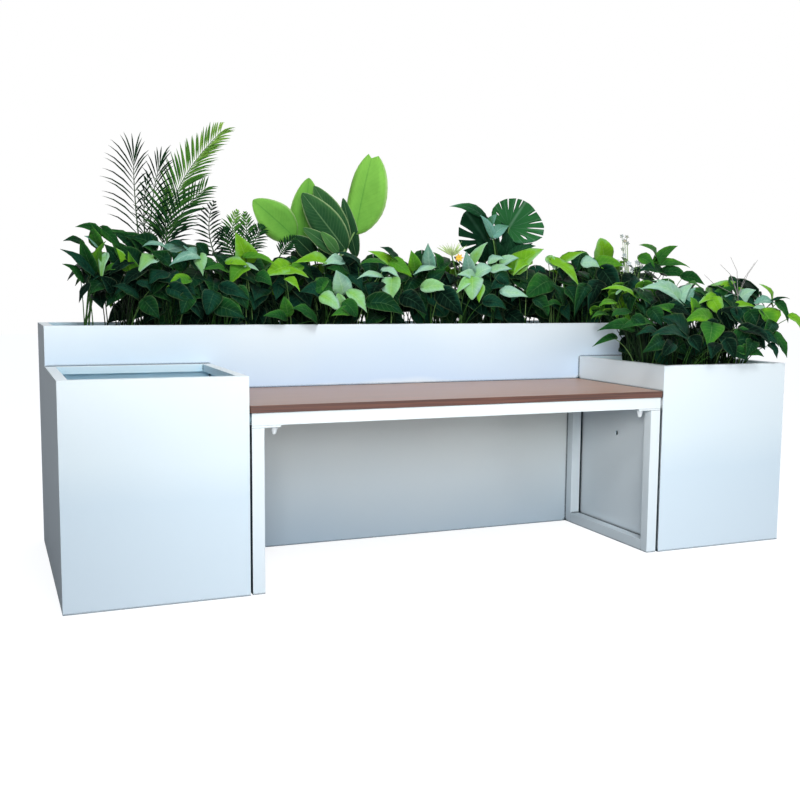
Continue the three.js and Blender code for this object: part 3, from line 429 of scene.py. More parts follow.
def powder_coat(name, looks, painted_light):
    """Steel sheet or tube, sprayed with white polyester powder and stoved.

    The eye sees an even skin with a faint orange peel and painted reflection and shade: a cool tint by
    height, a dark painted shade in each seam and along the foot, and a bluer painted shade inside. The last
    argument gives heights in metres and the front's painted tint there.
    """
    material, tree = new_material(name)
    around = add(tree, "TexCoord")
    place = around["Object"]
    height = add(tree, "SeparateXYZ", {0: place})["Z"]
    facing = add(tree, "SeparateXYZ", {0: around["Normal"]})["Y"]
    front = add(tree, "Math", {0: facing, 1: -1.0}, operation="MULTIPLY", use_clamp=True)[0]
    drift = add(tree, "TexNoise", {"Vector": place, "Scale": 2.2, "Detail": 2.0})["Fac"]
    level = add(tree, "Math", {0: drift, 1: 0.12, 2: height}, operation="MULTIPLY_ADD")[0]
    span = add(tree, "MapRange", {"Value": level, "From Max": PAINTED_LIGHT_HEIGHT})["Result"]
    # Painted reflection and shade by height: the fronts take their own ramp, the other sides the side ramp
    tints = []
    for heights in (SIDE_PAINTED_LIGHT, painted_light):
        stops = [(z / PAINTED_LIGHT_HEIGHT + 0.08, tint) for z, tint in heights]
        tints.append(add(tree, "ValToRGB", {"Fac": span}, stops=stops)["Color"])
    tint = add(tree, "Mix", {"Factor": front, 6: tints[0], 7: tints[1]}, data_type="RGBA")[2]
    times = {"data_type": "RGBA", "blend_type": "MULTIPLY"}
    colour = add(tree, "Mix", {"Factor": 1.0, 6: tint, 7: (*looks.coat_colour, 1)}, **times)[2]
    # Painted shade from the open view at each point: over 12 mm it darkens the seams and the foot, and among
    # its own walls it paints the inside bluer
    painted_shades = ((12 * MM, False, 0.52, 0.72, "#4C565C"), (450 * MM, True, 0.5, 0.9, "#DAF4FF"))
    for reach, own, low, high, code in painted_shades:
        view = add(tree, "AmbientOcclusion", {"Distance": reach}, samples=8, only_local=own)["AO"]
        opened = add(tree, "MapRange", {"Value": view, "From Min": low, "From Max": high})["Result"]
        shade = add(tree, "Mix", {"Factor": opened, 6: code, 7: "#FFFFFF"}, data_type="RGBA")[2]
        colour = add(tree, "Mix", {"Factor": 1.0, 6: colour, 7: shade}, **times)[2]
    peel = add(tree, "TexNoise", {"Vector": place, "Scale": 1 / looks.peel_size, "Detail": 1.0})["Fac"]
    bump = add(tree, "Bump", {"Height": peel, "Strength": 0.05, "Distance": 0.2 * MM})["Normal"]
    rough = add(tree, "MapRange", {"Value": drift, "To Min": 0.16, "To Max": 0.24})["Result"]
    surface = {"Base Color": colour, "Metallic": 0.08, "Roughness": rough, "Specular IOR Level": 0.0}
    finish_surface(tree, {**surface, "Normal": bump})
    return material


def wood_laminate(name):
    """Wood grain printed under a satin sealed face, on a board core.

    The eye sees fine streaks along the seat and a soft sheen that grows pale at a low angle.
    """
    material, tree = new_material(name)
    place = add(tree, "TexCoord")["Object"]
    # Grain lines run 0.4 m along the seat and lie 6 mm and 1.5 mm apart across it
    wide = add(tree, "Mapping", {"Vector": place, "Scale": (2.5, 160, 160)})["Vector"]
    fine = add(tree, "Mapping", {"Vector": place, "Scale": (6, 650, 650)})["Vector"]
    bands = add(tree, "TexNoise", {"Vector": wide, "Scale": 1.0, "Detail": 4.0, "Distortion": 0.4})["Fac"]
    pores = add(tree, "TexNoise", {"Vector": fine, "Scale": 1.0, "Detail": 3.0})["Fac"]
    blend = add(tree, "Math", {0: pores, 1: 0.4, 2: bands}, operation="MULTIPLY_ADD")[0]
    share = add(tree, "MapRange", {"Value": blend, "From Min": 0.45, "From Max": 0.95})["Result"]
    stops = [(0, "#28130D"), (0.35, "#43251D"), (0.6, "#5A372B"), (1, "#785341")]
    colour = add(tree, "ValToRGB", {"Fac": share}, stops=stops)["Color"]
    bump = add(tree, "Bump", {"Height": blend, "Strength": 0.15, "Distance": 0.1 * MM})["Normal"]
    rough = add(tree, "MapRange", {"Value": pores, "To Min": 0.4, "To Max": 0.52})["Result"]
    seal = {"Coat Weight": 0.8, "Coat Roughness": 0.3, "Coat Tint": "#F3DCD2"}
    sheen = {"Sheen Weight": 0.22, "Sheen Roughness": 0.5, "Sheen Tint": "#FFC8A2"}
    satin = {**seal, **sheen}
    finish_surface(tree, {"Base Color": colour, "Roughness": rough, "IOR": 1.5, **satin, "Normal": bump})
    return material


def zinc_plate(name):
    """Bright zinc-plated steel: pale grey metal with a fine crystalline mottle, in grains of 4 mm."""
    material, tree = new_material(name)
    place = add(tree, "TexCoord")["Object"]
    mottle = add(tree, "TexVoronoi", {"Vector": place, "Scale": 1 / (4 * MM)})["Color"]
    colour = add(tree, "ValToRGB", {"Fac": mottle}, stops=[(0, "#B4B8BA"), (1, "#D2D5D6")])["Color"]
    rough = add(tree, "MapRange", {"Value": mottle, "To Min": 0.28, "To Max": 0.42})["Result"]
    finish_surface(tree, {"Base Color": colour, "Metallic": 1.0, "Roughness": rough})
    return material


def moulded_plastic(name, stops, roughness, grain):
    """Injection-moulded plastic: even colour with a fine spark-eroded grain from the mould."""
    material, tree = new_material(name)
    place = add(tree, "TexCoord")["Object"]
    speck = add(tree, "TexNoise", {"Vector": place, "Scale": 1 / grain, "Detail": 2.0})["Fac"]
    colour = add(tree, "ValToRGB", {"Fac": speck}, stops=stops)["Color"]
    bump = add(tree, "Bump", {"Height": speck, "Strength": 0.2, "Distance": 0.1 * MM})["Normal"]
    limits = {"To Min": roughness - 0.05, "To Max": roughness + 0.05}
    rough = add(tree, "MapRange", {"Value": speck, **limits})["Result"]
    finish_surface(tree, {"Base Color": colour, "Roughness": rough, "IOR": 1.5, "Normal": bump})
    return material


def potting_soil(name):
    """Damp peat and bark potting mix: nearly black crumbs of 3 to 9 mm."""
    material, tree = new_material(name)
    place = add(tree, "TexCoord")["Object"]
    crumbs = add(tree, "TexVoronoi", {"Vector": place, "Scale": 1 / (9 * MM)})["Distance"]
    dust = add(tree, "TexNoise", {"Vector": place, "Scale": 1 / (3 * MM), "Detail": 4.0})["Fac"]
    stops = [(0.2, "#0B0A09"), (0.6, "#1C1814"), (0.9, "#30281F")]
    colour = add(tree, "ValToRGB", {"Fac": dust}, stops=stops)["Color"]
    height = add(tree, "Math", {0: dust, 1: 0.5, 2: crumbs}, operation="MULTIPLY_ADD")[0]
    bump = add(tree, "Bump", {"Height": height, "Strength": 0.8, "Distance": 3 * MM})["Normal"]
    finish_surface(tree, {"Base Color": colour, "Roughness": 0.85, "IOR": 1.4, "Normal": bump})
    return material


# Hues of each kind of leaf, dark to bright, and last a pale blue-green that paints the sky's reflection on a
# glossy blade
LEAF_HUES = {
    "waxy_leaf": [(0, "#04130E"), (0.1, "#123A2C"), (0.2, "#0E2E17"), (0.3, "#1A4A20"), (0.42, "#306826")]
    + [(0.55, "#4A8624"), (0.68, "#6FA823"), (0.8, "#85BA7E"), (0.9, "#97BFA8"), (1, "#6C9C89")],
    "palm_leaf": [(0, "#0A1A14"), (0.3, "#1F4724"), (0.6, "#4E8432"), (0.8, "#7BA545"), (1, "#A3C662")],
    "banana_leaf": [(0, "#12301E"), (0.3, "#2A5231"), (0.55, "#48773E"), (0.75, "#62A040"), (1, "#82C050")],
    "split_leaf": [(0, "#0A2417"), (0.4, "#1A4529"), (0.7, "#2A6234"), (1, "#6FA294")],
    "petal": [(0, "#B8D28A"), (0.4, "#E8EFD0"), (0.7, "#F3C33B"), (0.85, "#A7B2B4"), (1, "#EAF1F4")],
    "stem": [(0, "#0A1A0E"), (0.5, "#3C6A2E"), (1, "#9DBF7A")],
    "dry_stem": [(0, "#6C6763"), (1, "#A8A5A3")],
}

# Colours of the veins, along the same ramp
GREEN_RIBS = [(0, "#3C6449"), (0.3, "#5E8A50"), (0.7, "#A9D066"), (0.85, "#D5EBCB"), (1, "#D0EADD")]
BANANA_RIBS = [(0, "#9CC98A"), (0.6, "#9CC98A"), (0.75, "#2F7034"), (1, "#2F7034")]
SPLIT_RIBS = [(0, "#2F5A45"), (0.6, "#7FA58A"), (1, "#CFE0D6")]


def living_leaf(name, hues, veins, roughness=0.4, margin=0.0, vein_share=0.2, ribs=GREEN_RIBS):
    """Living leaf with a waxy skin.

    The eye sees its own hue for each blade, a midrib, a painted highlight along the margin, side veins sunk a
    little, and a soft gloss. veins is how many side veins run along a blade, vein_share how strongly they
    show, and margin how strongly the painted highlight does.
    """
    material, tree = new_material(name)
    split = add(tree, "SeparateXYZ", {0: add(tree, "UVMap", uv_map="place")["UV"]})
    tone = add(tree, "Attribute", attribute_name="tone")["Fac"]
    spot = add(tree, "TexCoord")["Object"]
    mottle = add(tree, "TexNoise", {"Vector": spot, "Scale": 1 / (22 * MM), "Detail": 3.0})["Fac"]
    centred = add(tree, "Math", {0: split["X"], 1: 0.5}, operation="SUBTRACT")[0]
    off = add(tree, "Math", {0: centred}, operation="ABSOLUTE")[0]
    # Side veins leave the midrib at a slant, so their place along the leaf grows with the distance from it
    slant = add(tree, "Math", {0: off, 1: -0.45, 2: split["Y"]}, operation="MULTIPLY_ADD")[0]
    beat = add(tree, "Math", {0: slant, 1: veins}, operation="MULTIPLY")[0]
    saw = add(tree, "Math", {0: beat, 1: 0.5}, operation="PINGPONG")[0]
    smooth = {"interpolation_type": "SMOOTHSTEP"}
    near = {"From Min": 0.0, "To Min": 1.0, "To Max": 0.0}
    midrib = add(tree, "MapRange", {"Value": off, "From Max": 0.035, **near}, **smooth)["Result"]
    side_veins = add(tree, "MapRange", {"Value": saw, "From Max": 0.1, **near}, **smooth)["Result"]
    edge = {"From Min": 0.43, "From Max": 0.5, "To Max": margin}
    painted_rim_highlight = add(tree, "MapRange", {"Value": off, **edge}, **smooth)["Result"]
    # The tone of the blade, shifted by the mottle and paler towards the margin
    limits = {"From Min": 0.3, "From Max": 0.7, "To Min": -0.075, "To Max": -0.005}
    shift = add(tree, "MapRange", {"Value": mottle, **limits})["Result"]
    shifted = add(tree, "Math", {0: tone, 1: shift}, operation="ADD")[0]
    hue = add(tree, "Math", {0: off, 1: 0.16, 2: shifted}, operation="MULTIPLY_ADD")[0]
    ground = add(tree, "ValToRGB", {"Fac": hue}, stops=hues)["Color"]
    rib = add(tree, "ValToRGB", {"Fac": hue}, stops=ribs)["Color"]
    vein_part = add(tree, "Math", {0: side_veins, 1: vein_share}, operation="MULTIPLY")[0]
    rib_part = add(tree, "Math", {0: midrib, 1: 0.3, 2: vein_part}, operation="MULTIPLY_ADD")[0]
    ribbed = add(tree, "Mix", {"Factor": rib_part, 6: ground, 7: rib}, data_type="RGBA")[2]
    # Painted highlight: a pale green mixed in along the margin
    colour = add(tree, "Mix", {"Factor": painted_rim_highlight, 6: ribbed, 7: "#C4DFA0"}, data_type="RGBA")[2]
    sunk = add(tree, "Math", {0: midrib, 1: side_veins}, operation="MAXIMUM")[0]
    bump = add(tree, "Bump", {"Height": sunk, "Strength": 0.5, "Distance": 0.6 * MM}, invert=True)["Normal"]
    limits = {"To Min": roughness - 0.06, "To Max": roughness + 0.08}
    rough = add(tree, "MapRange", {"Value": mottle, **limits})["Result"]
    gloss = {"IOR": 1.45, "Specular IOR Level": 0.05, "Specular Tint": "#8FD49A"}
    finish_surface(tree, {"Base Color": colour, "Roughness": rough, **gloss, "Normal": bump})
    return material


def live_stem(name, hues):
    """Stalk of a plant: smooth skin with fine lengthwise fibre, about 1 mm apart."""
    material, tree = new_material(name)
    spot = add(tree, "TexCoord")["Object"]
    tone = add(tree, "Attribute", attribute_name="tone")["Fac"]
    fibre = add(tree, "Mapping", {"Vector": spot, "Scale": (900, 900, 40)})["Vector"]
    streak = add(tree, "TexNoise", {"Vector": fibre, "Scale": 1.0, "Detail": 2.0})["Fac"]
    shift = add(tree, "MapRange", {"Value": streak, "To Min": -0.15, "To Max": 0.15})["Result"]
    hue = add(tree, "Math", {0: tone, 1: shift}, operation="ADD")[0]
    colour = add(tree, "ValToRGB", {"Fac": hue}, stops=hues)["Color"]
    bump = add(tree, "Bump", {"Height": streak, "Strength": 0.3, "Distance": 0.3 * MM})["Normal"]
    gloss = {"Roughness": 0.5, "IOR": 1.4, "Specular IOR Level": 0.15}
    finish_surface(tree, {"Base Color": colour, **gloss, "Normal": bump})
    return material


def green_stalk():
    """The finish that all living stalks share, made at its first use."""
    return bpy.data.materials.get("green_stalk") or live_stem("green_stalk", LEAF_HUES["stem"])


# Leaves read from the photograph, in its pixels: tone, joint, tip and width
REAR_LEAVES = [
    ("shade", 99, 234, 75, 227, 9), ("mid", 99, 246, 92, 225, 13), ("shade", 103, 230, 124, 252, 10),
    ("dark", 82, 243, 63, 241, 9), ("jade", 91, 273, 60, 249, 11), ("shade", 92, 271, 80, 238, 13),
    ("sea", 99, 248, 84, 236, 8), ("fresh", 99, 273, 106, 241, 14), ("pale", 106, 256, 102, 281, 9),
    ("shade", 81, 281, 62, 264, 9), ("mid", 106, 271, 128, 270, 9), ("bright", 128, 268, 116, 248, 12),
    ("fresh", 137, 273, 128, 251, 9), ("pale", 154, 259, 138, 274, 15), ("dark", 140, 252, 124, 236, 12),
    ("dark", 151, 250, 145, 231, 12), ("shade", 128, 242, 110, 229, 11), ("sea", 164, 249, 142, 247, 9),
    ("jade", 188, 253, 165, 244, 10), ("sea", 166, 251, 190, 249, 11), ("sea", 201, 256, 169, 266, 13),
    ("pale", 200, 256, 203, 276, 12), ("dark", 140, 250, 112, 232, 18), ("dark", 154, 248, 130, 238, 16),
    ("navy", 130, 262, 109, 276, 14), ("navy", 144, 272, 122, 290, 15), ("navy", 88, 285, 79, 303, 8),
    ("dark", 168, 262, 150, 252, 14), ("dark", 118, 262, 104, 244, 13), ("shade", 126, 260, 110, 240, 13),
    ("dark", 138, 262, 122, 247, 14), ("dark", 183, 268, 171, 252, 14), ("navy", 112, 290, 100, 276, 12),
    ("bright", 175, 251, 184, 255, 6), ("dark", 158, 256, 173, 269, 13), ("dark", 205, 256, 196, 243, 13),
    ("fresh", 188, 280, 167, 287, 12), ("mid", 226, 271, 203, 270, 12), ("shade", 212, 262, 197, 270, 11),
    ("bright", 247, 262, 235, 232, 20), ("bright", 228, 262, 249, 266, 10), ("fresh", 244, 268, 230, 285, 17),
    ("silver", 245, 266, 259, 271, 5), ("fresh", 246, 258, 277, 267, 9), ("shade", 258, 276, 272, 286, 14),
    ("bright", 288, 266, 263, 277, 16), ("bright", 284, 272, 309, 278, 12), ("bright", 286, 281, 300, 292, 9),
    ("bright", 324, 261, 294, 263, 13), ("fresh", 301, 266, 290, 274, 10), ("jade", 136, 297, 112, 286, 14),
    ("jade", 166, 273, 149, 284, 18), ("jade", 171, 289, 198, 307, 15), ("jade", 214, 293, 207, 315, 18),
    ("dark", 145, 301, 160, 319, 16), ("jade", 150, 290, 136, 283, 12), ("dark", 190, 296, 182, 314, 14),
    ("dark", 218, 306, 245, 318, 18), ("shade", 228, 303, 244, 320, 12), ("jade", 223, 287, 251, 301, 12),
    ("dark", 236, 290, 248, 310, 16), ("shade", 284, 318, 263, 316, 10), ("mid", 288, 314, 284, 296, 12),
    ("shade", 314, 321, 291, 309, 16), ("jade", 320, 292, 300, 292, 14), ("silver", 341, 262, 322, 266, 11),
    ("jade", 358, 267, 335, 253, 9), ("shade", 345, 275, 326, 268, 11), ("bright", 390, 264, 368, 251, 10),
    ("dark", 396, 262, 380, 247, 13), ("fresh", 393, 262, 412, 277, 13), ("mid", 391, 270, 359, 265, 11),
    ("silver", 380, 277, 357, 279, 8), ("silver", 383, 271, 400, 279, 9), ("pale", 392, 279, 391, 300, 18),
    ("silver", 343, 292, 336, 270, 17), ("pale", 322, 296, 339, 310, 15), ("pale", 343, 309, 338, 293, 12),
    ("pale", 350, 293, 367, 313, 15), ("shade", 331, 287, 311, 291, 17), ("mid", 323, 281, 318, 297, 12),
    ("mid", 349, 312, 331, 316, 9), ("shade", 345, 302, 357, 317, 13), ("dark", 370, 303, 405, 316, 18),
    ("navy", 404, 297, 427, 315, 18), ("navy", 378, 285, 372, 305, 18), ("fresh", 415, 269, 411, 250, 12),
    ("sea", 430, 268, 428, 243, 12), ("shade", 441, 272, 433, 252, 11), ("silver", 433, 268, 413, 275, 9),
    ("pale", 424, 288, 450, 291, 12), ("navy", 441, 292, 463, 316, 19), ("dark", 430, 280, 446, 270, 12),
    ("pale", 472, 264, 488, 242, 9), ("sea", 470, 273, 466, 251, 12), ("silver", 474, 279, 457, 275, 10),
    ("pale", 473, 278, 472, 300, 18), ("silver", 476, 276, 492, 268, 13), ("silver", 490, 264, 506, 260, 10),
    ("silver", 492, 270, 512, 269, 8), ("silver", 502, 263, 519, 258, 9), ("pale", 467, 281, 455, 295, 8),
    ("bright", 480, 286, 479, 303, 9), ("jade", 507, 281, 491, 289, 13), ("silver", 503, 292, 528, 297, 10),
    ("jade", 485, 302, 507, 310, 12), ("jade", 498, 275, 510, 290, 12), ("bright", 514, 270, 544, 249, 21),
    ("bright", 528, 262, 513, 276, 12), ("bright", 553, 262, 579, 287, 15),
    ("bright", 559, 266, 586, 252, 11), ("pale", 548, 258, 556, 270, 8), ("bright", 604, 262, 600, 238, 17),
    ("silver", 583, 263, 600, 268, 12), ("fresh", 598, 262, 624, 266, 12), ("navy", 603, 270, 620, 298, 18),
    ("navy", 598, 284, 590, 312, 17), ("dark", 585, 288, 577, 318, 14), ("shade", 549, 281, 526, 297, 20),
    ("shade", 560, 306, 539, 310, 9), ("dark", 563, 301, 551, 284, 13), ("dark", 567, 288, 576, 305, 16),
    ("dark", 534, 300, 548, 316, 14), ("mid", 656, 263, 639, 245, 12), ("mid", 656, 262, 678, 246, 9),
    ("mid", 657, 266, 690, 268, 9), ("shade", 664, 272, 688, 279, 11), ("shade", 683, 277, 706, 285, 10),
    ("dark", 661, 275, 638, 272, 14), ("mid", 640, 258, 655, 272, 11), ("navy", 632, 278, 622, 300, 16),
]

SIDE_LEAVES = [
    ("silver", 680, 304, 640, 289, 14), ("silver", 676, 304, 693, 284, 14), ("sea", 684, 302, 696, 287, 9),
    ("silver", 671, 290, 652, 281, 4), ("pale", 648, 297, 637, 287, 2), ("mid", 667, 294, 648, 286, 9),
    ("bright", 637, 304, 601, 290, 9), ("pale", 617, 294, 627, 289, 3), ("fresh", 614, 303, 598, 307, 9),
    ("mid", 606, 316, 591, 319, 7), ("mid", 650, 300, 636, 298, 7), ("shade", 629, 312, 612, 316, 11),
    ("mid", 676, 314, 652, 307, 10), ("bright", 712, 297, 736, 282, 13), ("shade", 713, 299, 737, 288, 8),
    ("bright", 716, 297, 697, 305, 9), ("bright", 712, 299, 720, 314, 14), ("fresh", 693, 316, 690, 297, 14),
    ("shade", 706, 300, 693, 291, 9), ("silver", 732, 296, 719, 302, 7), ("silver", 737, 303, 756, 290, 14),
    ("fresh", 738, 290, 748, 302, 7), ("bright", 736, 306, 757, 309, 7), ("sea", 757, 304, 777, 306, 10),
    ("silver", 756, 309, 773, 317, 8), ("bright", 771, 304, 759, 284, 9), ("dark", 762, 300, 758, 292, 8),
    ("dark", 773, 301, 790, 299, 3), ("shade", 777, 303, 788, 323, 9), ("fresh", 763, 312, 771, 334, 21),
    ("bright", 791, 317, 806, 338, 13), ("fresh", 710, 320, 683, 323, 15), ("mid", 712, 326, 708, 349, 20),
    ("navy", 708, 324, 724, 335, 13), ("jade", 684, 336, 661, 317, 19), ("jade", 683, 337, 650, 336, 15),
    ("jade", 655, 332, 635, 336, 8), ("shade", 650, 325, 619, 330, 13), ("shade", 630, 329, 597, 331, 12),
    ("shade", 614, 338, 592, 347, 7), ("jade", 745, 327, 730, 310, 17), ("dark", 733, 342, 762, 343, 19),
    ("shade", 741, 351, 764, 357, 11), ("navy", 742, 330, 772, 348, 15), ("jade", 760, 334, 779, 347, 11),
    ("shade", 775, 335, 787, 358, 12), ("dark", 661, 341, 642, 353, 14), ("navy", 722, 312, 736, 328, 15),
    ("dark", 634, 318, 646, 330, 13), ("navy", 668, 308, 690, 316, 13), ("dark", 652, 310, 662, 326, 15),
    ("navy", 722, 336, 738, 350, 14), ("navy", 692, 338, 700, 352, 13), ("navy", 672, 344, 662, 356, 12),
    ("navy", 727, 341, 735, 359, 13), ("dark", 750, 312, 760, 332, 17), ("navy", 766, 320, 752, 338, 14),
    ("dark", 735, 350, 748, 361, 11), ("navy", 722, 310, 731, 330, 14), ("dark", 742, 310, 748, 328, 13),
    ("navy", 752, 335, 765, 350, 13), ("dark", 773, 324, 762, 340, 12), ("dark", 752, 343, 745, 360, 12),
    ("navy", 716, 345, 711, 360, 13), ("jade", 770, 345, 777, 359, 10), ("dark", 730, 294, 714, 290, 9),
    ("mid", 700, 290, 686, 284, 8),
]

# The bed of the long planter
REAR_BED = dict(
    soil=598 * MM,  # height of the soil
    roots=((-0.91, 0.955), (-0.1, 0.1)),  # ends in x and in y of where plants root
    middle=0,  # y of the row of plants
    plants=["leafy_plant_rear_1", "leafy_plant_rear_2", "leafy_plant_rear_3", "leafy_plant_rear_4"],
    joins=[-0.4825, 0, 0.4825],  # x where one plant gives way to the next
    spans=[(-0.865, -0.4845), (-0.4805, -0.002), (0.002, 0.4805), (0.4845, 0.925)],  # ends in x of each hood
    rows=(240, 318),  # picture heights of the highest and the lowest leaves that are placed by pixel
    depths=(-150 * MM, -35 * MM),  # y of the lowest and of the highest of them
    sides=(-0.985, 1.07),  # ends in x of them
    seeds=(11, 21, 31, 41),  # start of each plant's draws
    count=34,  # leaves of a plant in one layer of its hood
    low_leaves=40,  # leaves of a plant between its stems
    thicket=-0.765,  # left end in x of those
    low=650 * MM,  # height of the hood's foot
    top=885 * MM,  # and of its crown
    hood_angle=1.5,  # radians from the crown to the hood's front and back
    reach=108 * MM,  # depth of the hood from its middle
    front=0.4,  # share of the reach that it has towards the camera
    end_lean=0.3,  # how far the outer plants lean out at their ends
)

# The bed of the right planter
SIDE_BED = dict(
    soil=495 * MM,
    roots=((0.63, 0.95), (-0.53, -0.2)),
    middle=-365.25 * MM,
    plants=["leafy_plant_right_1", "leafy_plant_right_2"],
    joins=[0.789],
    spans=[(0.524, 0.789), (0.789, 1.054)],
    rows=(285, 350),
    depths=(-590 * MM, -340 * MM),
    sides=(0.5, 1.06),
    seeds=(71, 81),
    count=30,
    low_leaves=36,
    thicket=0.7,
    low=590 * MM,
    top=805 * MM,
    hood_angle=1.45,
    reach=190 * MM,
    front=0.15,
    end_lean=0.4,
)

# Rims that the leaves keep off, with their lowest height there. The long planter's lies at these distances
# from its middle in y and in x, and the others are ends in x and in y.
OVER_REAR_RIM = 624.5 * MM
REAR_RIM = ((0.118, 0.157), (0.968, 1.006))
OVER_SIDE_RIM = 522 * MM
SIDE_RIM = ((0.572, 1.004), (-0.586, 0))
SIDE_MOUTH = ((0.614, 0.964), (-0.546, -0.187))
SIDE_HEART = ((0.64, 0.955), (-0.5, -0.195))  # where the unseen leaves may hang lower than the shoulder
SIDE_SHOULDER = 555 * MM

# Where the right planter's foliage begins, and the y that the foliage on either side of the gap keeps to
SIDE_FOLIAGE = 0.48
REAR_FRONT = -148.5 * MM
SIDE_BACK = -152 * MM

CLUMP = 0.11  # metres between the clumps that the pictured leaves of a bush spring from
BARE_CORNER = 112  # pixels from the left, up to where the photograph shows the stalks
LEAF_STALK = (1.7 * MM, 1.1 * MM)  # radius at the root and under the leaf
LEAF_BREADTH = 0.74  # width of a bush leaf by its length
ROOT_DEPTH = 5 * MM  # how deep in the soil the stalks begin


def within(point, area):
    """Whether a point lies between an area's ends in x and in y."""
    (left, right), (front, back) = area
    return left < point.x < right and front < point.y < back


def inside(point):
    """Keeps a point 2 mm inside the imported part's box."""
    for i in range(3):
        point[i] = min(CAD_BOUNDS[1][i] - 2 * MM, max(CAD_BOUNDS[0][i] + 2 * MM, point[i]))
    return point


def clear_rear(point):
    """Keeps a leaf's point off the long planter's rim and behind the right planter's foliage."""
    if point.x > SIDE_FOLIAGE:
        point.y = max(point.y, REAR_FRONT)
    (inner_y, outer_y), (inner_x, outer_x) = REAR_RIM
    over = inner_y < abs(point.y) < outer_y or inner_x < abs(point.x) < outer_x
    if point.z < OVER_REAR_RIM and over:
        point.z = OVER_REAR_RIM
    return inside(point)


def clear_side(point):
    """Keeps a leaf's point off the right planter's rim and in front of the long planter's foliage."""
    point.y = min(point.y, SIDE_BACK)
    if point.z < OVER_SIDE_RIM and within(point, SIDE_RIM) and not within(point, SIDE_MOUTH):
        point.z = OVER_SIDE_RIM
    return inside(point)


def clear_side_thicket(point):
    """Keeps the unseen leaves of the right planter above or inside its mouth, so that its rim shows."""
    point.x = max(point.x, 0.61)
    if not within(point, SIDE_HEART):
        point.z = max(point.z, SIDE_SHOULDER)
    return clear_side(point)


def plant_at(bed, x):
    """The number of the plant that grows at a place along the bed."""
    return sum(x > join for join in bed["joins"])


def depth_at(bed, u, v):
    """How deep in the bed a leaf at a pixel lies. Low leaves are near, and all keep to the bed's sides."""
    across, deep, _ = FORWARD * FOCAL + RIGHT * (u - PICTURE / 2)
    reach = [EYE.y + (side - EYE.x) * deep / across for side in bed["sides"]]
    near = max(bed["depths"][0], reach[0])
    far = max(near, min(bed["depths"][1], reach[1]))
    share = (v - bed["rows"][0]) / (bed["rows"][1] - bed["rows"][0])
    return mix(far, near, min(1, max(0, share)))


def root_at(bed, x, y):
    """The nearest place in the bed's soil where a plant can root."""
    (left, right), (front, back) = bed["roots"]
    return Vector((min(right, max(left, x)), min(back, max(front, y)), bed["soil"] - ROOT_DEPTH))


def pictured_leaves(bed, rows, leaves, stems):
    """Adds the leaves of a table that was read from the photograph."""
    for i, (tone, u, v, tip_u, tip_v, width) in enumerate(rows):
        pixels = math.hypot(tip_u - u, tip_v - v)
        depth = depth_at(bed, (u + tip_u) / 2, (v + tip_v) / 2) + 0.02 * (chance(i, 5) - 0.5)
        base = inside(through(u, v, depth))
        size = pixel_size(base)
        tip = through(tip_u, tip_v, depth - 0.35 * pixels * size)
        slender = width < 0.62 * pixels
        plant = plant_at(bed, base.x)
        leaves[plant].blade(
            base,
            tip,
            width * size * 1.2,
            ABOVE * 0.55 - FORWARD,
            TONES[tone],
            "heart" if slender or chance(i, 11) > 0.5 else "round",
            turn=0.8 * (chance(i, 7) - 0.5),
            arch=0.07 + 0.08 * chance(i, 8),
            rise=0.12 * chance(i, 16),
            fold=0.25 + 0.3 * chance(i, 9),
            curl=0.35 * chance(i, 10),
            wave=0.2,
            # Painted shade across each blade and along it
            sides=0.16 * (chance(i, 14) - 0.5),
            fade=0.24 * (chance(i, 15) - 0.4),
        )
        clump = round(base.x / CLUMP) * CLUMP + 0.03 * (chance(i, 12) - 0.5)
        root = root_at(bed, clump, mix(depth, bed["middle"], 0.6))
        stems[plant].stem(bent(root, base), *LEAF_STALK, 0.5 if u < BARE_CORNER else 0.8 * chance(i, 13) ** 2)


# Tones that are drawn for the leaves not shown singly: dark ones as painted shade behind the pictured ones,
# mixed ones in the open, and dark ones as painted shade low down
SHADED_FRONT_TONES = ("navy", "dark", "jade", "dark")
OPEN_TONES = ("dark", "shade", "mid", "fresh", "bright")
SHADED_LOW_TONES = ("navy", "navy", "jade", "dark")


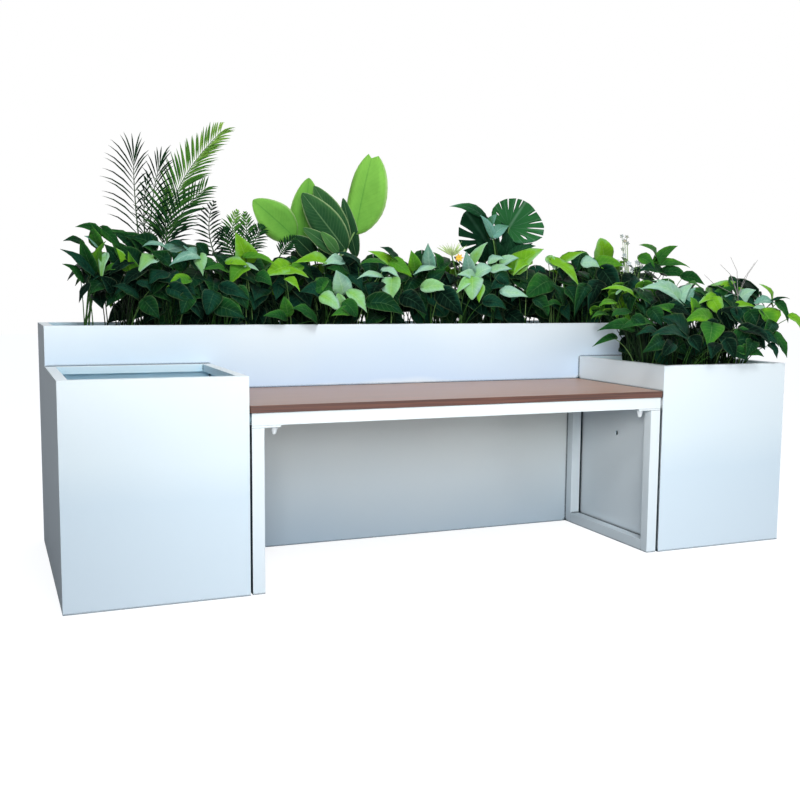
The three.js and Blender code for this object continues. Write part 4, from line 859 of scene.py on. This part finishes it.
def hidden_leaves(bed, plant, leaves, stems, leaf_length, layers):
    """Adds the leaves that the photograph doesn't show singly, on a rounded hood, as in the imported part."""
    low_x, high_x = bed["spans"][plant]
    centre = (low_x + high_x) / 2
    outer = plant in (0, len(bed["plants"]) - 1)
    for layer in range(layers):
        seed = bed["seeds"][plant] + 200 * layer
        for i in range(bed["count"]):
            draw = dice(i, seed)
            across = (i + draw(0, 1)) / bed["count"]
            angle = mix(-bed["hood_angle"], bed["hood_angle"], (i + seed) * GOLDEN % 1)
            hood = draw(0.7, 1) * (1 - 0.16 * layer)
            lean = bed["end_lean"] * (2 * across - 1) ** 3 if outer else 0
            outward = Vector((lean, math.sin(angle), math.cos(angle))).normalized()
            crown = (bed["top"] - 25 * MM - bed["low"]) * mix(1, 0.75, abs(lean)) * draw(0.8, 1)
            # The leaves that face the camera lie behind those that are placed by pixel
            deep = bed["reach"] * math.sin(angle) * hood * (bed["front"] if angle < 0 else 1)
            x = max(bed["roots"][0][0], mix(low_x, high_x, across))
            base = Vector((x, bed["middle"] + deep, bed["low"] + crown * hood * math.cos(0.8 * angle)))
            root_x = centre + (high_x - low_x) * 0.9 * (mix(across, draw(0, 1), 0.3) - 0.5)
            root = root_at(bed, root_x, bed["middle"] + bed["reach"] * draw(-0.35, 0.35))
            length = leaf_length * draw(0.72, 1.08)
            along = Vector((draw(-0.7, 0.7) + lean, 0.8 * outward.y, draw(-1, -0.2))).normalized()
            in_front = base.y < bed["middle"] + 0.02
            # Leaves in front, behind the pictured ones, take dark tones as painted shade
            tones = SHADED_FRONT_TONES if in_front else OPEN_TONES
            tone = TONES[tones[int(chance(i, seed + 30) * len(tones))]]
            shades = dict(sides=draw(-0.07, 0.07), fade=draw(-0.05, 0.12))
            facing = outward + ABOVE * 0.4
            leaves[plant].blade(base, base + along * length, LEAF_BREADTH * length, facing, tone, **shades)
            # Their stalks are dark too, as painted shade inside the bush
            stems[plant].stem(bent(root, base), *LEAF_STALK, 0.1 * chance(i, seed + 31))


def undergrowth(bed, plant, leaves, stems, leaf_length):
    """Adds the leaves low down between the stems, in dark tones that paint the shade there."""
    low_x, high_x = bed["spans"][plant]
    low_x = max(low_x, bed["thicket"])
    front, back = bed["roots"][1]
    for i in range(bed["low_leaves"]):
        draw = dice(i, bed["seeds"][plant] + 400)
        x = mix(low_x, high_x, (i + draw(0, 1)) / bed["low_leaves"])
        base = Vector((x, mix(front, back, draw(0.45, 1)), bed["soil"] + draw(45, 125) * MM))
        length = leaf_length * draw(0.75, 1.0)
        way = Vector((draw(-0.9, 0.9), draw(-0.5, 0.2), draw(-0.9, -0.1))).normalized()
        tone = TONES[SHADED_LOW_TONES[int(draw(0, len(SHADED_LOW_TONES)))]]
        facing = ABOVE * 0.4 - FORWARD
        leaves[plant].blade(base, base + way * length, LEAF_BREADTH * length, facing, tone, arch=0.1)
        root = root_at(bed, x + draw(-0.03, 0.03), base.y + draw(-0.02, 0.03))
        stems[plant].stem(bent(root, base), *LEAF_STALK, draw(0, 0.1))


def finish_plant(node, slot, leaf, leaves, stems, looks):
    """Makes the two pieces of a green plant, its leaves and its stalks."""
    leaves.piece(node + "_leaves", leaf, slot, node, looks.leaf_thickness)
    stems.piece(node + "_stalks", green_stalk(), slot, node)


# Settings and steps


class LookSettings(PropertyGroup):
    """Sizes and colours that a user would change."""

    coat_colour: FloatVectorProperty(
        name="Coat", description="Colour of the powder coat", subtype="COLOR", default=linear("#FCFDFD")
    )
    peel_size: FloatProperty(
        name="Orange peel", description="Spacing of the coat's ripple", unit="LENGTH", default=2.5 * MM
    )
    edge_radius: FloatProperty(
        name="Edge radius", description="Round of the folded and sawn edges", unit="LENGTH", default=0.8 * MM
    )
    leaf_thickness: FloatProperty(
        name="Leaf thickness", description="Thickness of every leaf", unit="LENGTH", default=0.6 * MM
    )
    leaf_length: FloatProperty(
        name="Leaf length", description="Longest blade in the bushes", unit="LENGTH", default=96 * MM
    )
    leaf_layers: IntProperty(
        name="Leaf layers", description="Layers of leaves under the pictured ones", default=2, min=1, max=3
    )
    key_power: FloatProperty(name="Key lamp", description="Power of the main lamp", unit="POWER", default=136)
    fill_power: FloatProperty(
        name="Fill lamp", description="Power of the low front lamp", unit="POWER", default=30
    )
    side_power: FloatProperty(
        name="Side lamp", description="Power of the gridded side lamp", unit="POWER", default=7
    )
    back_power: FloatProperty(
        name="Back lamp", description="Power of the low lamp behind", unit="POWER", default=30
    )
    sky_light: FloatProperty(name="Sky light", description="Strength of the surroundings", default=0.74)
    dark_side: FloatProperty(
        name="Dark side", description="Share of the sky light that comes from the left", default=0.0
    )


def nodes_of(slot):
    """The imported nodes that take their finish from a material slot."""
    return [part["node"] for part in frame["record"]["subparts"] if part["material_slot"] == slot]


def dress(nodes, material, edge_radius=0):
    """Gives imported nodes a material, and rounds their sharp edges."""
    for name in nodes:
        node = frame["nodes"][name]
        node.data.materials.clear()
        node.data.materials.append(material)
        if edge_radius:
            weld = node.modifiers.new("Join corners", "WELD")
            weld.merge_threshold = 0.01 * MM
            flat = node.modifiers.new("Whole faces", "DECIMATE")
            flat.decimate_type = "DISSOLVE"
            flat.angle_limit = math.radians(1)
            bevel = node.modifiers.new("Edge round", "BEVEL")
            bevel.width = edge_radius
            bevel.segments = 2
            bevel.limit_method = "ANGLE"
            bevel.angle_limit = math.radians(40)
            bevel.harden_normals = True


class PLANTER_OT_coat_steel(Operator):
    """Coats the planters, the seat's frame and the legs"""

    bl_idname = "planter_bench.coat_steel"
    bl_label = "Coat the steel"

    def execute(self, context):
        looks = context.scene.planter_looks
        coated = nodes_of("powder_coat")
        long_planter = [name for name in coated if name.startswith("rear_planter")]
        side_planters = [name for name in coated if "_planter_" in name and name not in long_planter]
        tubes = [name for name in coated if name not in long_planter + side_planters]
        for name, nodes, painted_light in (
            ("powder_coated_sheet_long", long_planter, LONG_PAINTED_LIGHT),
            ("powder_coated_sheet_side", side_planters, SQUARE_PAINTED_LIGHT),
            ("powder_coated_tube", tubes, TUBE_PAINTED_LIGHT),
        ):
            dress(nodes, powder_coat(name, looks, painted_light), looks.edge_radius)
        return {"FINISHED"}


class PLANTER_OT_finish_seat(Operator):
    """Gives the seat board its wood grain"""

    bl_idname = "planter_bench.finish_seat"
    bl_label = "Finish the seat"

    def execute(self, context):
        looks = context.scene.planter_looks
        dress(nodes_of("seat_wood"), wood_laminate("sealed_wood_laminate"), 2 * looks.edge_radius)
        return {"FINISHED"}


class PLANTER_OT_finish_small_parts(Operator):
    """Finishes the fasteners, liner stands, hand nuts and liners"""

    bl_idname = "planter_bench.finish_small_parts"
    bl_label = "Finish the small parts"

    def execute(self, context):
        white = [(0.3, "#E3E8EA"), (0.7, "#F1F4F5")]
        black = [(0.3, "#141617"), (0.7, "#1E2122")]
        dress(nodes_of("zinc_steel"), zinc_plate("zinc_plated_steel"))
        dress(nodes_of("nut_plastic"), moulded_plastic("moulded_nylon", white, 0.4, 0.8 * MM), 0.5 * MM)
        dress(nodes_of("liner_plastic"), moulded_plastic("moulded_polypropylene", black, 0.5, 1.2 * MM))
        return {"FINISHED"}


def crumbly_block(low, high):
    """Points and faces of a block of soil, whose top is uneven and 4 mm down along its rim."""
    across, deep = [round((high[i] - low[i]) / (12 * MM)) for i in (0, 1)]
    points = []
    for j in range(deep + 1):
        y = mix(low.y, high.y, j / deep)
        for i in range(across + 1):
            inner = 0 < i < across and 0 < j < deep
            drop = mix(0, 9 * MM, chance(i, j)) if inner else 4 * MM
            points.append((mix(low.x, high.x, i / across), y, high.z - drop - 0.5 * MM))
    grid = [range(j * (across + 1), (j + 1) * (across + 1)) for j in range(deep + 1)]
    faces = [(a[i], a[i + 1], b[i + 1], b[i]) for a, b in zip(grid, grid[1:]) for i in range(across)]
    rim = [*grid[0][:-1], *(row[-1] for row in grid[:-1]), *grid[-1][:0:-1], *(row[0] for row in grid[:0:-1])]
    foot = range(len(points), len(points) + len(rim))
    points += [(points[k][0], points[k][1], low.z + 0.5 * MM) for k in rim]
    for k in range(len(rim)):
        n = (k + 1) % len(rim)
        faces.append((rim[n], rim[k], foot[k], foot[n]))
    faces.append(tuple(reversed(foot)))
    return points, faces


class PLANTER_OT_fill_soil(Operator):
    """Fills the two planted liners with crumbly soil"""

    bl_idname = "planter_bench.fill_soil"
    bl_label = "Fill the soil"

    def execute(self, context):
        material = potting_soil("peat_potting_soil")
        for node in nodes_of("soil"):
            points, faces = crumbly_block(*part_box(node))
            mesh = bpy.data.meshes.new(node + "_bed")
            mesh.from_pydata(points, [], faces)
            mesh.materials.append(material)
            bed = bpy.data.objects.new(node + "_bed", mesh)
            context.scene.collection.objects.link(bed)
            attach(bed, frame["nodes"][node]["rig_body"])
            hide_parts(node)
        return {"FINISHED"}


class PLANTER_OT_grow_leafy_plants(Operator):
    """Grows the band of leafy plants in both planters"""

    bl_idname = "planter_bench.grow_leafy_plants"
    bl_label = "Grow the leafy plants"

    def execute(self, context):
        looks = context.scene.planter_looks
        leaf = living_leaf("waxy_leaf", LEAF_HUES["waxy_leaf"], 7, margin=0.08)
        for bed, rows, layers, clear, thicket in (
            (REAR_BED, REAR_LEAVES, looks.leaf_layers, clear_rear, clear_rear),
            (SIDE_BED, SIDE_LEAVES, 1, clear_side, clear_side_thicket),
        ):
            leaves = [Foliage(thicket) for _ in bed["plants"]]
            stems = [Foliage() for _ in bed["plants"]]
            for plant in range(len(bed["plants"])):
                hidden_leaves(bed, plant, leaves, stems, looks.leaf_length, layers)
                undergrowth(bed, plant, leaves, stems, looks.leaf_length)
                leaves[plant].clear = clear
            pictured_leaves(bed, rows, leaves, stems)
            for node, blades, stalks in zip(bed["plants"], leaves, stems):
                finish_plant(node, "leaf_green", leaf, blades, stalks, looks)
        return {"FINISHED"}


# Forms of the palm's and the small fern palm's fronds, where they differ from the usual one
SLIM = dict(width=4.5 * MM, bare=0.04, swell=(0.4, 0.75), rise=0.12)
ONE_SIDED = dict(SLIM, closing=3, right=(0, 1))
CLOSING = dict(SLIM, closing=2, left=(0.6, 0.9))
YOUNG = dict(SLIM, swell=(0.4, 0.85))
FULL = dict(bare=0.04, swell=(0.35, 0.84))
SHORT = dict(bare=0.04)

# Fronds read from the photograph: three pixels of the stalk, depth, pairs and length of the leaflets, then
# their tones and angles at both ends, and the form
PALM_FRONDS = [
    ([(139, 240), (134.5, 190), (134, 159)], 0.035, 14, 0.11, (0, 0.1), (0.95, 0.15), ONE_SIDED),
    ([(149, 246), (153, 198), (160, 164)], 0.05, 14, 0.088, (0, 0.1), (0.95, 0.2), CLOSING),
    ([(146, 246), (144, 210), (148, 178)], 0.065, 9, 0.05, (0, 0.2), (0.9, 0.4), YOUNG),
    ([(167, 248), (178, 190), (221, 132)], 0.03, 46, 0.1, (0.22, 0.78), (0.95, 0.5), FULL),
    ([(165, 248), (180, 216), (205, 189)], 0.015, 20, 0.085, (0, 0.45), (1, 0.5), FULL),
    ([(161, 250), (166, 222), (168, 196)], 0.045, 12, 0.06, (0.45, 0.7), (0.9, 0.5), FULL),
]
FERN_FRONDS = [
    ([(217, 259), (209, 230), (214, 202)], -0.03, 14, 0.05, (0, 0), (1.25, 0.8), dict(bare=0.05)),
    ([(236, 259), (232, 236), (237, 211)], -0.03, 17, 0.05, (0.1, 0.75), (1.2, 0.6), SHORT),
    ([(240, 259), (246, 238), (245, 213)], -0.02, 17, 0.05, (0.1, 0.5), (1.2, 0.6), SHORT),
    ([(236, 261), (227, 243), (225, 228)], -0.03, 13, 0.045, (0.1, 0.2), (1.2, 0.6), SHORT),
    ([(244, 261), (255, 240), (262, 226)], -0.03, 15, 0.045, (0.1, 0.2), (1.2, 0.6), SHORT),
    ([(279, 258), (286, 247), (296, 237)], -0.03, 12, 0.035, (0.1, 0.2), (1.1, 0.6), {}),
]

# Stalks that bear the fronds: pixel of the upper end, depth there, and place of the foot in x and y
PALM_STALKS = [
    ((139, 240), 0.035, (-0.715, 0.035)),
    ((149, 246), 0.035, (-0.705, 0.035)),
    ((167, 248), 0.035, (-0.69, 0.035)),
    ((162, 250), 0.035, (-0.7, 0.035)),
]
FERN_STALKS = [((u, 259), -0.03, (-0.512, -0.04)) for u in (217, 236, 240, 244, 279)]


class PLANTER_OT_grow_palms(Operator):
    """Grows the palm and the small fern palm"""

    bl_idname = "planter_bench.grow_palms"
    bl_label = "Grow the palms"

    def execute(self, context):
        looks = context.scene.planter_looks
        leaf = living_leaf("palm_leaflet", LEAF_HUES["palm_leaf"], 0.5)
        for node, fronds, stalks, thick, thin, tone in (
            ("palm_plant", PALM_FRONDS, PALM_STALKS, 3.2 * MM, 2.4 * MM, 0.5),
            ("fern_plant", FERN_FRONDS, FERN_STALKS, 2.2 * MM, 1.8 * MM, 0.4),
        ):
            leaves, stems = Foliage(inside), Foliage()
            for row in fronds:
                leaves.frond(stems, *row)
            for pixel, depth, foot in stalks:
                stems.stem(bent(root_at(REAR_BED, *foot), through(*pixel, depth)), thick, thin, tone)
            finish_plant(node, "palm_green", leaf, leaves, stems, looks)
        return {"FINISHED"}


# Broad leaves read from the photograph: tone, joint, tip, width and depth in metres
BANANA_LEAVES = [
    (0.85, (294, 237), (253, 200), 35, 0.03),
    (0.8, (303, 242), (309, 178), 31, 0.06),
    (0.35, (346, 242), (314, 186), 25, 0.04),
    (0.3, (345, 249), (302, 193), 31, 0.02),
    (0.95, (356, 229), (373, 152), 40, 0.03),
    (0.35, (337, 253), (303, 228), 15, -0.01),
    (0.5, (338, 253), (321, 232), 12, -0.015),
    (0.15, (356, 256), (343, 198), 15, 0.05),
    (0.1, (314, 256), (294, 236), 20, 0.03),
    (0.1, (332, 260), (319, 238), 16, 0.04),
]


class PLANTER_OT_grow_banana(Operator):
    """Grows the banana plant with its broad blades"""

    bl_idname = "planter_bench.grow_banana"
    bl_label = "Grow the banana plant"

    def execute(self, context):
        looks = context.scene.planter_looks
        hues = LEAF_HUES["banana_leaf"]
        leaf = living_leaf("banana_leaf", hues, 16, margin=0.5, vein_share=0.1, ribs=BANANA_RIBS)
        leaves, stems = Foliage(inside), Foliage()
        foot = root_at(REAR_BED, -0.2, 0.035)
        for i, (tone, joint, end, width, depth) in enumerate(BANANA_LEAVES):
            base, tip = through(*joint, depth), through(*end, depth - 0.02)
            torn = tone > 0.9
            form = dict(notch=0.07, lean=0.28) if torn else {}
            leaves.blade(
                base,
                tip,
                width * pixel_size(base),
                ABOVE * 0.2 - FORWARD,
                tone,
                "broad" if torn else "paddle",
                rows=14,
                arch=0.05,
                fold=0.3,
                curl=0.22,
                turn=0.3 * (chance(i, 4) - 0.5),
                sides=0.1 * (chance(i, 5) - 0.5),
                fade=0.14,
                **form,
            )
            root = foot + Vector((0.03 * (chance(i, 2) - 0.5), 0.02 * (chance(i, 3) - 0.5), 0))
            stems.stem(bent(root, base), 5 * MM, 2.4 * MM, 0.7)
        finish_plant("banana_plant", "banana_green", leaf, leaves, stems, looks)
        return {"FINISHED"}


# Split leaves of the monstera: tone, joint, tip, depth, outline and slits, as Foliage.fan reads them
SPLIT_LEAVES = [
    (
        0.62,
        (509, 227.5),
        (526, 200.5),
        0.04,
        [(-140, 0.2), (-104, 0.53), (-75, 0.78), (-50, 0.88), (-24, 0.95), (0, 1)]
        + [(26, 0.98), (41, 1.02), (57, 1.1), (77, 1.1), (92, 0.88), (110, 0.66), (131, 0.48), (155, 0.2)],
        [(-72, 4, 0.6, 0.8), (-53, 2, 0.7, 1.1), (-34, 2.5, 0.6, 1.1), (-17, 2.5, 0.55, 1.1)]
        + [(-6, 2, 0.7, 1.1), (27, 2.5, 0.7, 1.1), (48, 2.5, 0.6, 1.1), (61, 2.5, 0.5, 1.1)]
        + [(74, 3, 0.5, 1.1), (93, 5, 0.5, 0.8)],
    ),
    (
        0.12,
        (486, 241),
        (467, 211),
        0.02,
        [(-110, 0.45), (-80, 0.65), (-50, 0.82), (-20, 0.9), (0, 1), (30, 0.7), (60, 0.45), (100, 0.3)],
        [(-68, 6, 0.4, 1.1), (-46, 6, 0.4, 1.1), (-25, 5, 0.5, 1.1)],
    ),
]

# Its plain leaves: tone, joint, tip, width, depth and how much the tone changes from joint to tip, as painted
# shade
WHOLE_LEAVES = [
    (0.5, (482, 216), (449.5, 206.5), 11, 0, 0.7),
    (0.95, (492.5, 236), (480, 215), 9, -0.01, 0.1),
    (0.9, (493.5, 235), (509, 226), 13, -0.01, -0.2),
    (0.8, (488, 226), (497, 214), 9, 0, 0.2),
    (0.35, (511, 256), (536, 246), 11, 0, 0.1),
    (0.1, (517, 257), (533, 243), 8, 0.01, 0.1),
    (0.05, (499, 262), (487, 238), 20, 0.02, 0.1),
    (0.08, (504, 262), (510, 240), 20, 0.03, 0.1),
    (0.1, (512, 264), (524, 246), 18, 0.03, 0.1),
    (0.05, (484, 260), (476, 241), 15, 0.03, 0.1),
    (0.1, (492, 258), (499, 236), 14, 0.03, 0.1),
    (0.05, (507, 264), (506, 231), 22, 0.05, 0.1),
    (0.1, (520, 264), (517, 240), 18, 0.05, 0.1),
    (0.12, (512, 250), (501, 222), 17, 0.06, 0.1),
    (0.08, (518, 250), (509, 228), 15, 0.06, 0.1),
    (0.1, (484, 250), (474, 226), 14, 0.06, 0.1),
]


class PLANTER_OT_grow_monstera(Operator):
    """Grows the monstera with its slit blades"""

    bl_idname = "planter_bench.grow_monstera"
    bl_label = "Grow the monstera"

    def execute(self, context):
        looks = context.scene.planter_looks
        leaf = living_leaf("split_leaf", LEAF_HUES["split_leaf"], 7, vein_share=0.15, ribs=SPLIT_RIBS)
        leaves, stems = Foliage(inside), Foliage()
        facing = ABOVE * 0.2 - FORWARD
        joints = []
        for tone, joint, end, depth, outline, slits in SPLIT_LEAVES:
            base, tip = through(*joint, depth), through(*end, depth - 0.015)
            # The last two numbers paint shade across the leaf and from joint to tip
            leaves.fan(base, tip, facing, tone, outline, slits, 0.08, 0.08)
            joints.append(base)
        for tone, joint, end, width, depth, fade in WHOLE_LEAVES:
            base, tip = through(*joint, depth), through(*end, depth - 0.015)
            size = width * pixel_size(base)
            leaves.blade(base, tip, size, facing, tone, arch=0.08, rise=0.08, sides=0.08, fade=fade)
            joints.append(base)
        foot = root_at(REAR_BED, 0.402, 0.035)
        for i, joint in enumerate(joints):
            root = foot + Vector((0.02 * (chance(i, 2) - 0.5), 0, 0))
            stems.stem(bent(root, joint), 3.2 * MM, 2 * MM, 0.6 if i in (0, 3) else 0.1)
        finish_plant("monstera_plant", "monstera_green", leaf, leaves, stems, looks)
        return {"FINISHED"}


# Bare twigs read from the photograph: tip and middle of each
TWIGS = [
    (730.7, 257, 737, 271),
    (720.3, 264.4, 730, 274),
    (757.8, 260, 748, 274),
    (755, 262.5, 745, 277),
    (704.4, 274.7, 714, 284),
    (731, 275, 734, 283),
]


def petal_way(angle, towards):
    """The way of a petal that opens round its flower, and towards the camera."""
    return (RIGHT * math.cos(angle) + UP * math.sin(angle) - FORWARD * towards).normalized()


class PLANTER_OT_grow_flowers(Operator):
    """Grows the yellow flower, the white blossom sprig and the bare twigs"""

    bl_idname = "planter_bench.grow_flowers"
    bl_label = "Grow the flowers and twigs"

    def execute(self, context):
        looks = context.scene.planter_looks
        petal = living_leaf("soft_petal", LEAF_HUES["petal"], 5, roughness=0.5)

        # The yellow flower over its spiky rosette
        leaves, stems = Foliage(inside), Foliage()
        centre, bloom = through(452, 256, -0.07), through(459, 258, -0.09)
        size = pixel_size(centre)
        spike = dict(rows=5, thin=True)
        for i in range(26):
            angle = math.tau * i * GOLDEN
            way = Vector((math.cos(angle), 0.5 * math.sin(angle), 0.35 + 0.6 * chance(i, 1))).normalized()
            tip = centre + way * size * (10 + 9 * chance(i, 2))
            leaves.blade(centre, tip, 4 * MM, -FORWARD, 0.05, "lance", **spike)
        for i in range(7):
            tip = bloom + petal_way(math.tau * i / 7, 0.35) * size * 4.6
            leaves.blade(bloom, tip, 8 * MM, -FORWARD, 0.7, "round", **spike)
        for top, thick in ((centre, 3 * MM), (bloom, 1.6 * MM)):
            stems.stem(bent(root_at(REAR_BED, 0.226, -0.035), top), thick, 0.7 * thick, 0.6)
        leaves.piece("flower_plant_leaves", petal, "flower_yellow", "flower_plant", looks.leaf_thickness)
        stems.piece("flower_plant_stalks", green_stalk(), "leaf_green", "flower_plant")

        # The sprig: six blossoms high up, and the rest in the cluster beside them
        leaves, stems = Foliage(inside), Foliage()
        for i in range(22):
            high = i < 6
            u = 624.5 + 9 * (chance(i, 1) - 0.5) if high else 628 + 40 * (chance(i, 1) - 0.5)
            v = 236 + 14 * chance(i, 2) if high else 251 + 22 * chance(i, 2)
            tone = 0.85 if high else 0.87 + 0.16 * chance(i, 4)
            top = through(u, v, -0.06 + 0.03 * chance(i, 3))
            stems.stem(bent(root_at(REAR_BED, 0.835, -0.035), top, steps=8), 1.2 * MM, 0.6 * MM, 0.9)
            for k in range(5):
                tip = top + petal_way(math.tau * k / 5 + i, 0.4) * size * 2.8
                leaves.blade(top, tip, 6 * MM, -FORWARD, tone, "round", rows=4, thin=True)
        leaves.piece("sprig_plant_blossoms", petal, "pale_blossom", "sprig_plant", looks.leaf_thickness)
        stems.piece("sprig_plant_stalks", green_stalk(), "pale_blossom", "sprig_plant")

        # The bare twigs, which part at a knot over the right planter's soil
        stems = Foliage()
        deep = -0.42
        knot = through(738, 296, deep)
        foot = Vector((knot.x, knot.y, SIDE_BED["soil"] - ROOT_DEPTH))
        for u, v, low_u, low_v in TWIGS:
            path = [foot, knot, through(low_u, low_v, deep), through(u, v, deep)]
            stems.stem(path, 1.2 * MM, 0.5 * MM, 0.5)
        twig = live_stem("dry_twig", LEAF_HUES["dry_stem"])
        stems.piece("twig_plant_stalks", twig, "pale_blossom", "twig_plant")
        return {"FINISHED"}


# Lamps: name, place, where it aims, size in metres, spread in degrees, and the setting with its power
LAMPS = [
    ("key_lamp", (-0.95, -4.2, 4.6), (0, -0.2, 0.4), 1.4, 180, "key_power"),
    ("fill_lamp", (-0.9, -5, 1), (0, -0.2, 0.4), 1.6, 180, "fill_power"),
    ("side_lamp", (-0.97, -2.4, 1.05), (0.6, -0.25, 0.4), 0.7, 80, "side_power"),
    ("back_lamp", (0.8, 3.6, 0.7), (0, 0.15, 0.3), 1.6, 120, "back_power"),
]
FLOOR_REACH = 14  # metres from the middle of the floor to its edges


def seen_directly(tree):
    """1 for the rays that show a thing itself, from the camera, off gloss or through glass, and else 0."""
    path = add(tree, "LightPath")
    seen = add(tree, "Math", {0: path["Is Camera Ray"], 1: path["Is Glossy Ray"]}, operation="MAXIMUM")[0]
    return add(tree, "Math", {0: seen, 1: path["Is Transmission Ray"]}, operation="MAXIMUM")[0]


def matt_floor(name):
    """Grey matt floor for the light that bounces off it, which the camera sees nearly white."""
    material, tree = new_material(name)
    lift = add(tree, "Math", {0: seen_directly(tree), 1: 0.86}, operation="MULTIPLY")[0]
    paint = add(tree, "BsdfDiffuse", {"Color": "#82888E"})[0]
    glow = add(tree, "Emission", {"Color": "#FFFFFF", "Strength": lift})[0]
    add(tree, "OutputMaterial", {"Surface": add(tree, "AddShader", {0: paint, 1: glow})[0]})
    return material


def soft_sky(name, looks):
    """Surroundings that light the object from the right and above, and that the camera sees as white."""
    world = bpy.data.worlds.new(name)
    world.use_nodes = True
    tree = world.node_tree
    tree.nodes.clear()
    split = add(tree, "SeparateXYZ", {0: add(tree, "TexCoord")["Generated"]})
    right = add(tree, "Math", {0: split["Z"], 1: 0.6, 2: split["X"]}, operation="MULTIPLY_ADD")[0]
    limits = {"From Min": -0.6, "From Max": 0.3, "To Min": looks.dark_side, "To Max": 1.0}
    share = add(tree, "MapRange", {"Value": right, **limits})["Result"]
    strength = add(tree, "Math", {0: share, 1: looks.sky_light}, operation="MULTIPLY")[0]
    soft = add(tree, "Background", {"Color": "#F4F8FF", "Strength": strength})[0]
    white = add(tree, "Background", {"Color": "#FFFFFF", "Strength": 1.0})[0]
    both = add(tree, "MixShader", {0: seen_directly(tree), 1: soft, 2: white})[0]
    add(tree, "OutputWorld", {"Surface": both})
    return world


class PLANTER_OT_set_stage(Operator):
    """Lays the floor, hangs the lamps, lights the surroundings and sets the camera"""

    bl_idname = "planter_bench.set_stage"
    bl_label = "Set the stage"

    def execute(self, context):
        looks = context.scene.planter_looks
        scene = context.scene
        scene.view_settings.view_transform = "Standard"
        scene.world = soft_sky("studio", looks)

        mesh = bpy.data.meshes.new("floor")
        corners = [(x * FLOOR_REACH, y * FLOOR_REACH, 0) for x, y in ((-1, -1), (1, -1), (1, 1), (-1, 1))]
        mesh.from_pydata(corners, [], [(0, 1, 2, 3)])
        mesh.materials.append(matt_floor("matt_floor"))
        floor = bpy.data.objects.new("floor", mesh)
        floor.location.z = -0.5 * MM
        scene.collection.objects.link(floor)

        for name, place, aim, size, spread, power in LAMPS:
            lamp = bpy.data.lights.new(name, "AREA")
            lamp.size = size
            lamp.energy = getattr(looks, power)
            lamp.spread = math.radians(spread)
            hung = bpy.data.objects.new(name, lamp)
            hung.location = place
            hung.rotation_mode = "QUATERNION"
            hung.rotation_quaternion = (Vector(aim) - hung.location).to_track_quat("-Z", "Y")
            scene.collection.objects.link(hung)

        data = bpy.data.cameras.new("camera")
        data.sensor_width = 36
        data.lens = FOCAL / PICTURE * data.sensor_width
        camera = bpy.data.objects.new("camera", data)
        camera.matrix_world = Matrix.Translation(EYE) @ Matrix((RIGHT, UP, -FORWARD)).transposed().to_4x4()
        scene.collection.objects.link(camera)
        scene.camera = camera
        return {"FINISHED"}


class PLANTER_PT_looks(Panel):
    """Lists the settings and the steps in their order"""

    bl_idname = "PLANTER_PT_looks"
    bl_label = "Planter bench looks"
    bl_space_type = "VIEW_3D"
    bl_region_type = "UI"
    bl_category = "Planter bench"

    def draw(self, context):
        for name in LookSettings.__annotations__:
            self.layout.prop(context.scene.planter_looks, name)
        for step in STEPS:
            self.layout.operator(step.bl_idname)


STEPS = (
    PLANTER_OT_coat_steel,
    PLANTER_OT_finish_seat,
    PLANTER_OT_finish_small_parts,
    PLANTER_OT_fill_soil,
    PLANTER_OT_grow_leafy_plants,
    PLANTER_OT_grow_palms,
    PLANTER_OT_grow_banana,
    PLANTER_OT_grow_monstera,
    PLANTER_OT_grow_flowers,
    PLANTER_OT_set_stage,
)
CLASSES = (LookSettings, *STEPS, PLANTER_PT_looks)


def register():
    for made in CLASSES:
        bpy.utils.register_class(made)
    bpy.types.Scene.planter_looks = PointerProperty(type=LookSettings)


def unregister():
    del bpy.types.Scene.planter_looks
    for made in reversed(CLASSES):
        bpy.utils.unregister_class(made)


def main():
    register()
    for step in STEPS:
        group, name = step.bl_idname.split(".")
        getattr(getattr(bpy.ops, group), name)()


if __name__ == "__main__":
    main()
